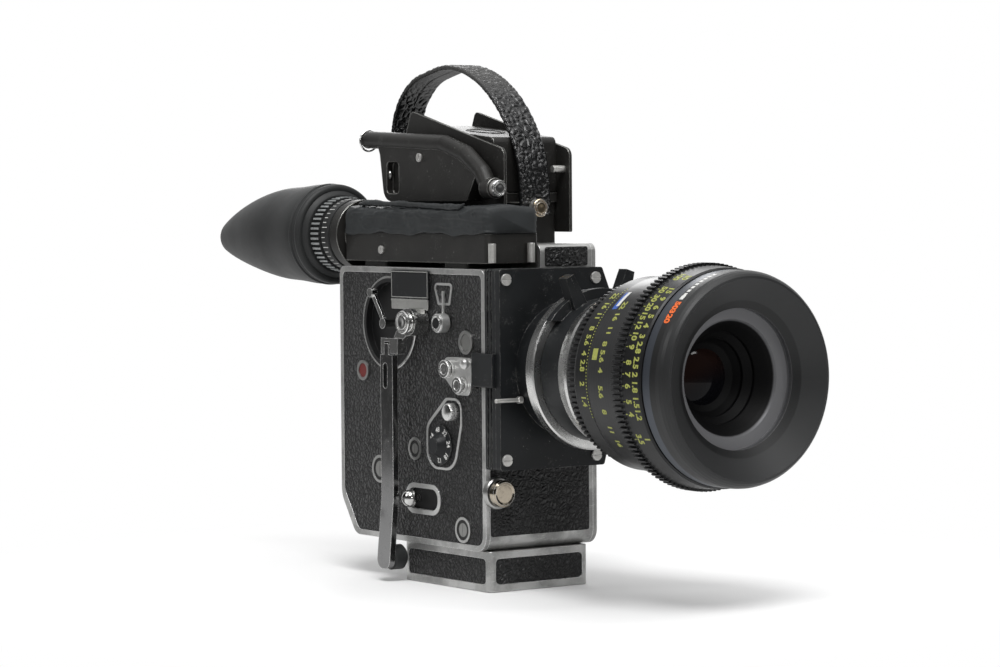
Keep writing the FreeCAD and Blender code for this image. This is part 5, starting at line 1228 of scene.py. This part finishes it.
class GLASS_OT_build(bpy.types.Operator):
    """The domed front glass, deep inside the lens"""

    bl_idname = "camera_looks.glass"
    bl_label = "Front glass"

    def execute(self, context):
        f = Finish("front_coating_painted_reflection", Specular_IOR_Level=0.1, Roughness=0.03)
        x, y, z = f.axes()
        # Painted reflection: the upper part of the dome is tinted warm brown-red, a coating reflection
        # painted into its colour.
        warm = (z - x * 0.4 + y).over(-0.07, -0.05)
        haze = f.noise(260, 2, 0.6)
        tone = f.mix(warm * 0.5, (0.003, 0.003, 0.004), (0.02, 0.009, 0.006))
        f.paint(Base_Color=tone, Roughness=0.03 + 0.03 * haze.over(0.55, 0.8))
        radius, rise = 20.5, 5.5
        bow = (radius ** 2 + rise ** 2) / (2 * rise)
        rows = []
        for i in range(17):
            r = radius * i / 16
            rows.append((rise - bow + math.sqrt(bow ** 2 - r ** 2), r, 0.0))
        mesh = lathe(rows, (LENS_X / MM, -189.5, LENS_Z / MM), FRONT, 64)
        dress(as_object("front_dome", mesh), f.material, "body")
        return {"FINISHED"}


# Small fittings


def rings_cap(name, centre, axis, radius, height, material, body="body"):
    """A fitting with turned rings on its face: outer lip, groove and a domed middle."""
    rows = ((0.0, 0.97), (0.55, 0.97), (0.8, 0.9), (0.8, 0.78), (0.3, 0.74), (0.3, 0.66))
    rows += ((0.9, 0.62), (0.95, 0.5), (0.95, 0.34), (0.85, 0.16), (0.85, 0.0))
    mesh = lathe([(h * height, r * radius, 0.0) for h, r in rows], centre, axis, 48)
    return dress(soften(as_object(name, mesh), 28), material, body)


def slab(name, outline, front, depth, material, body="body"):
    """A flat plate on a face towards -X, from its outline of y and z in millimetres."""
    mesh = loft([[Vector((x, y, z)) * MM for y, z in outline] for x in (front, front + depth)])
    return dress(as_object(name, recalc(mesh), False), material, body)


def rounded_box(low, high, radius, steps=5):
    """The outline of a rectangle with rounded corners, from its low and high corners."""
    outline = []
    for i, (y, z) in enumerate((high, (low[0], high[1]), low, (high[0], low[1]))):
        cy = y - radius if y == high[0] else y + radius
        cz = z - radius if z == high[1] else z + radius
        for k in range(steps + 1):
            a = math.pi / 2 * (i + k / steps)
            outline.append((cy + radius * math.cos(a), cz + radius * math.sin(a)))
    return outline


def bead(name, points, radius, material, around=10):
    """A thin round bead along a closed line of points, in metres."""
    rows = []
    for i, point in enumerate(points):
        along = (points[(i + 1) % len(points)] - points[i - 1]).normalized()
        side = along.cross(Vector((0.31, 0.2, 0.93))).normalized()
        over = side.cross(along)
        ring = [side * math.cos(t) + over * math.sin(t) for t in turns(around)]
        rows.append([point + way * radius for way in ring])
    return dress(as_object(name, loft(rows, joined=True)), material, "body")


class FITTINGS_OT_build(bpy.types.Operator):
    """Caps, screws, plates and beads that stand on the modelled pieces"""

    bl_idname = "camera_looks.fittings"
    bl_label = "Small fittings"

    def execute(self, context):
        chrome = polished_metal("fitting_chrome", colours().chrome, 0.12)
        warm = polished_metal("stud_metal", (0.62, 0.5, 0.34), 0.16)
        satin = bare_metal("plate_satin", (0.5, 0.5, 0.48), 0.36, 0.5, 0.6, 0.0002)
        black = black_paint("recess_black", (0.004, 0.004, 0.0045), 0.45, 0.1)
        rings_cap("strap_stud_cap", (15.5, -27.3, 237.5), FRONT, 5.9, 1.9, warm)
        rings_cap("bracket_cap", (-18.0, -29.6, 250.0), FRONT, 5.4, 1.7, chrome)
        rings_cap("sector_cap", (-47.4, -4.0, 166.0), LEFT, 5.9, 1.3, chrome, "sector_knob")
        rings_cap("recess_screw", (-19.0, 90.9, 259.1), LEFT, 3.4, 1.6, chrome)
        rings_cap("tube_cap", (-17.7, 117.4, 281.6), BACK, 5.2, 1.0, chrome)
        rings_cap("hub_cap", (-55.0, 22.4, 166.0), LEFT, 7.6, 2.2, chrome, "crank_hub")
        ring = [(Vector((-17.7, 116.9, 281.6)) + spoke(turn) * 6.7) * MM for turn in turns(36)]
        bead("tube_ring", ring, 0.0007, chrome)
        hub = [(-4.0 + 3.5 * math.cos(turn), 166.0 + 3.5 * math.sin(turn)) for turn in turns(36)]
        slab("sector_hub", hub, -48.75, 0.5, black, "sector_knob")
        slab("clutch_floor", rounded_box((6.5, 45.5), (38.5, 61.5), 7.5), -38.82, 0.27, black)
        self.name_plate(satin)
        self.emblem()
        self.eyecup_bead()
        return {"FINISHED"}

    def name_plate(self, satin):
        """A bare black plate in a thin border, over a silver strip with a folded edge."""
        rim = (((14.2, 181.0), (54.8, 181.5)), ((14.2, 197.2), (54.8, 197.7)))
        rim += (((14.2, 181.5), (14.7, 197.2)), ((54.3, 181.5), (54.8, 197.2)))
        for i, (low, high) in enumerate(rim):
            slab("name_border_%d" % i, rounded_box(low, high, 0.1, 2), -42.38, 0.1, satin)
        slab("name_strip", rounded_box((14.0, 173.6), (55.0, 180.0), 0.8), -42.2, 0.7, satin)
        slab("name_fold", rounded_box((14.0, 179.1), (55.0, 180.0), 0.3), -42.6, 0.4, satin)

    def emblem(self):
        """Two raised ovals on the slanted top of the cover box."""
        skin = Skin("saddle_cover")
        paint = black_paint("oval_paint", colours().cast, 0.34, 1.8)
        for i, grow in enumerate((1.0, 0.86)):
            points = []
            for turn in turns(72):
                y, x = 30 + 14.5 * grow * math.sin(turn), 15 + 11.5 * grow * math.cos(turn)
                points.append(skin.land(Vector((x, y, 320)) * MM, Vector((0, 0, -1)), 0.0001))
            bead("oval_%d" % i, points, 0.00045, paint)

    def eyecup_bead(self):
        """The rounded beads round the neck of the eyecup."""
        skin = Skin("eyecup")
        soft = rubber("bead_rubber", colours().rubber, 0.42, 0.3)
        for i, (y, radius) in enumerate(((153.4, 2.9), (160.2, 1.2))):
            points = []
            for turn in turns(96):
                start = Vector((EYE_X, y * MM, EYE_Z)) + spoke(turn) * 0.08
                points.append(skin.land(start, -spoke(turn), -0.0004))
            bead("eyecup_bead_%d" % i, points, radius * MM, soft, 14)


# The add-on

PIECES = (
    STAGE_OT_build,
    FINISH_OT_apply,
    KNOBS_OT_build,
    STRAP_OT_build,
    COVER_OT_build,
    FIGURES_OT_build,
    GLASS_OT_build,
    FITTINGS_OT_build,
)


class CAMERA_PT_looks(bpy.types.Panel):
    """Lists the camera's pieces, colours and sizes"""

    bl_label = "Cine camera"
    bl_idname = "CAMERA_PT_looks"
    bl_space_type = "VIEW_3D"
    bl_region_type = "UI"
    bl_category = "Cine camera"

    def draw(self, context):
        layout = self.layout
        for piece in PIECES:
            layout.operator(piece.bl_idname)
        for group in (context.scene.camera_sizes, context.scene.camera_colours):
            column = layout.column(align=True)
            for name in group.__annotations__:
                column.prop(group, name)


CLASSES = (CameraColours, CameraSizes) + PIECES + (CAMERA_PT_looks,)


def register():
    for each in CLASSES:
        bpy.utils.register_class(each)
    bpy.types.Scene.camera_colours = PointerProperty(type=CameraColours)
    bpy.types.Scene.camera_sizes = PointerProperty(type=CameraSizes)


def unregister():
    del bpy.types.Scene.camera_sizes
    del bpy.types.Scene.camera_colours
    for each in reversed(CLASSES):
        bpy.utils.unregister_class(each)


def main():
    register()
    for piece in PIECES:
        group, name = piece.bl_idname.split(".")
        getattr(getattr(bpy.ops, group), name)()


if __name__ == "__main__":
    main()
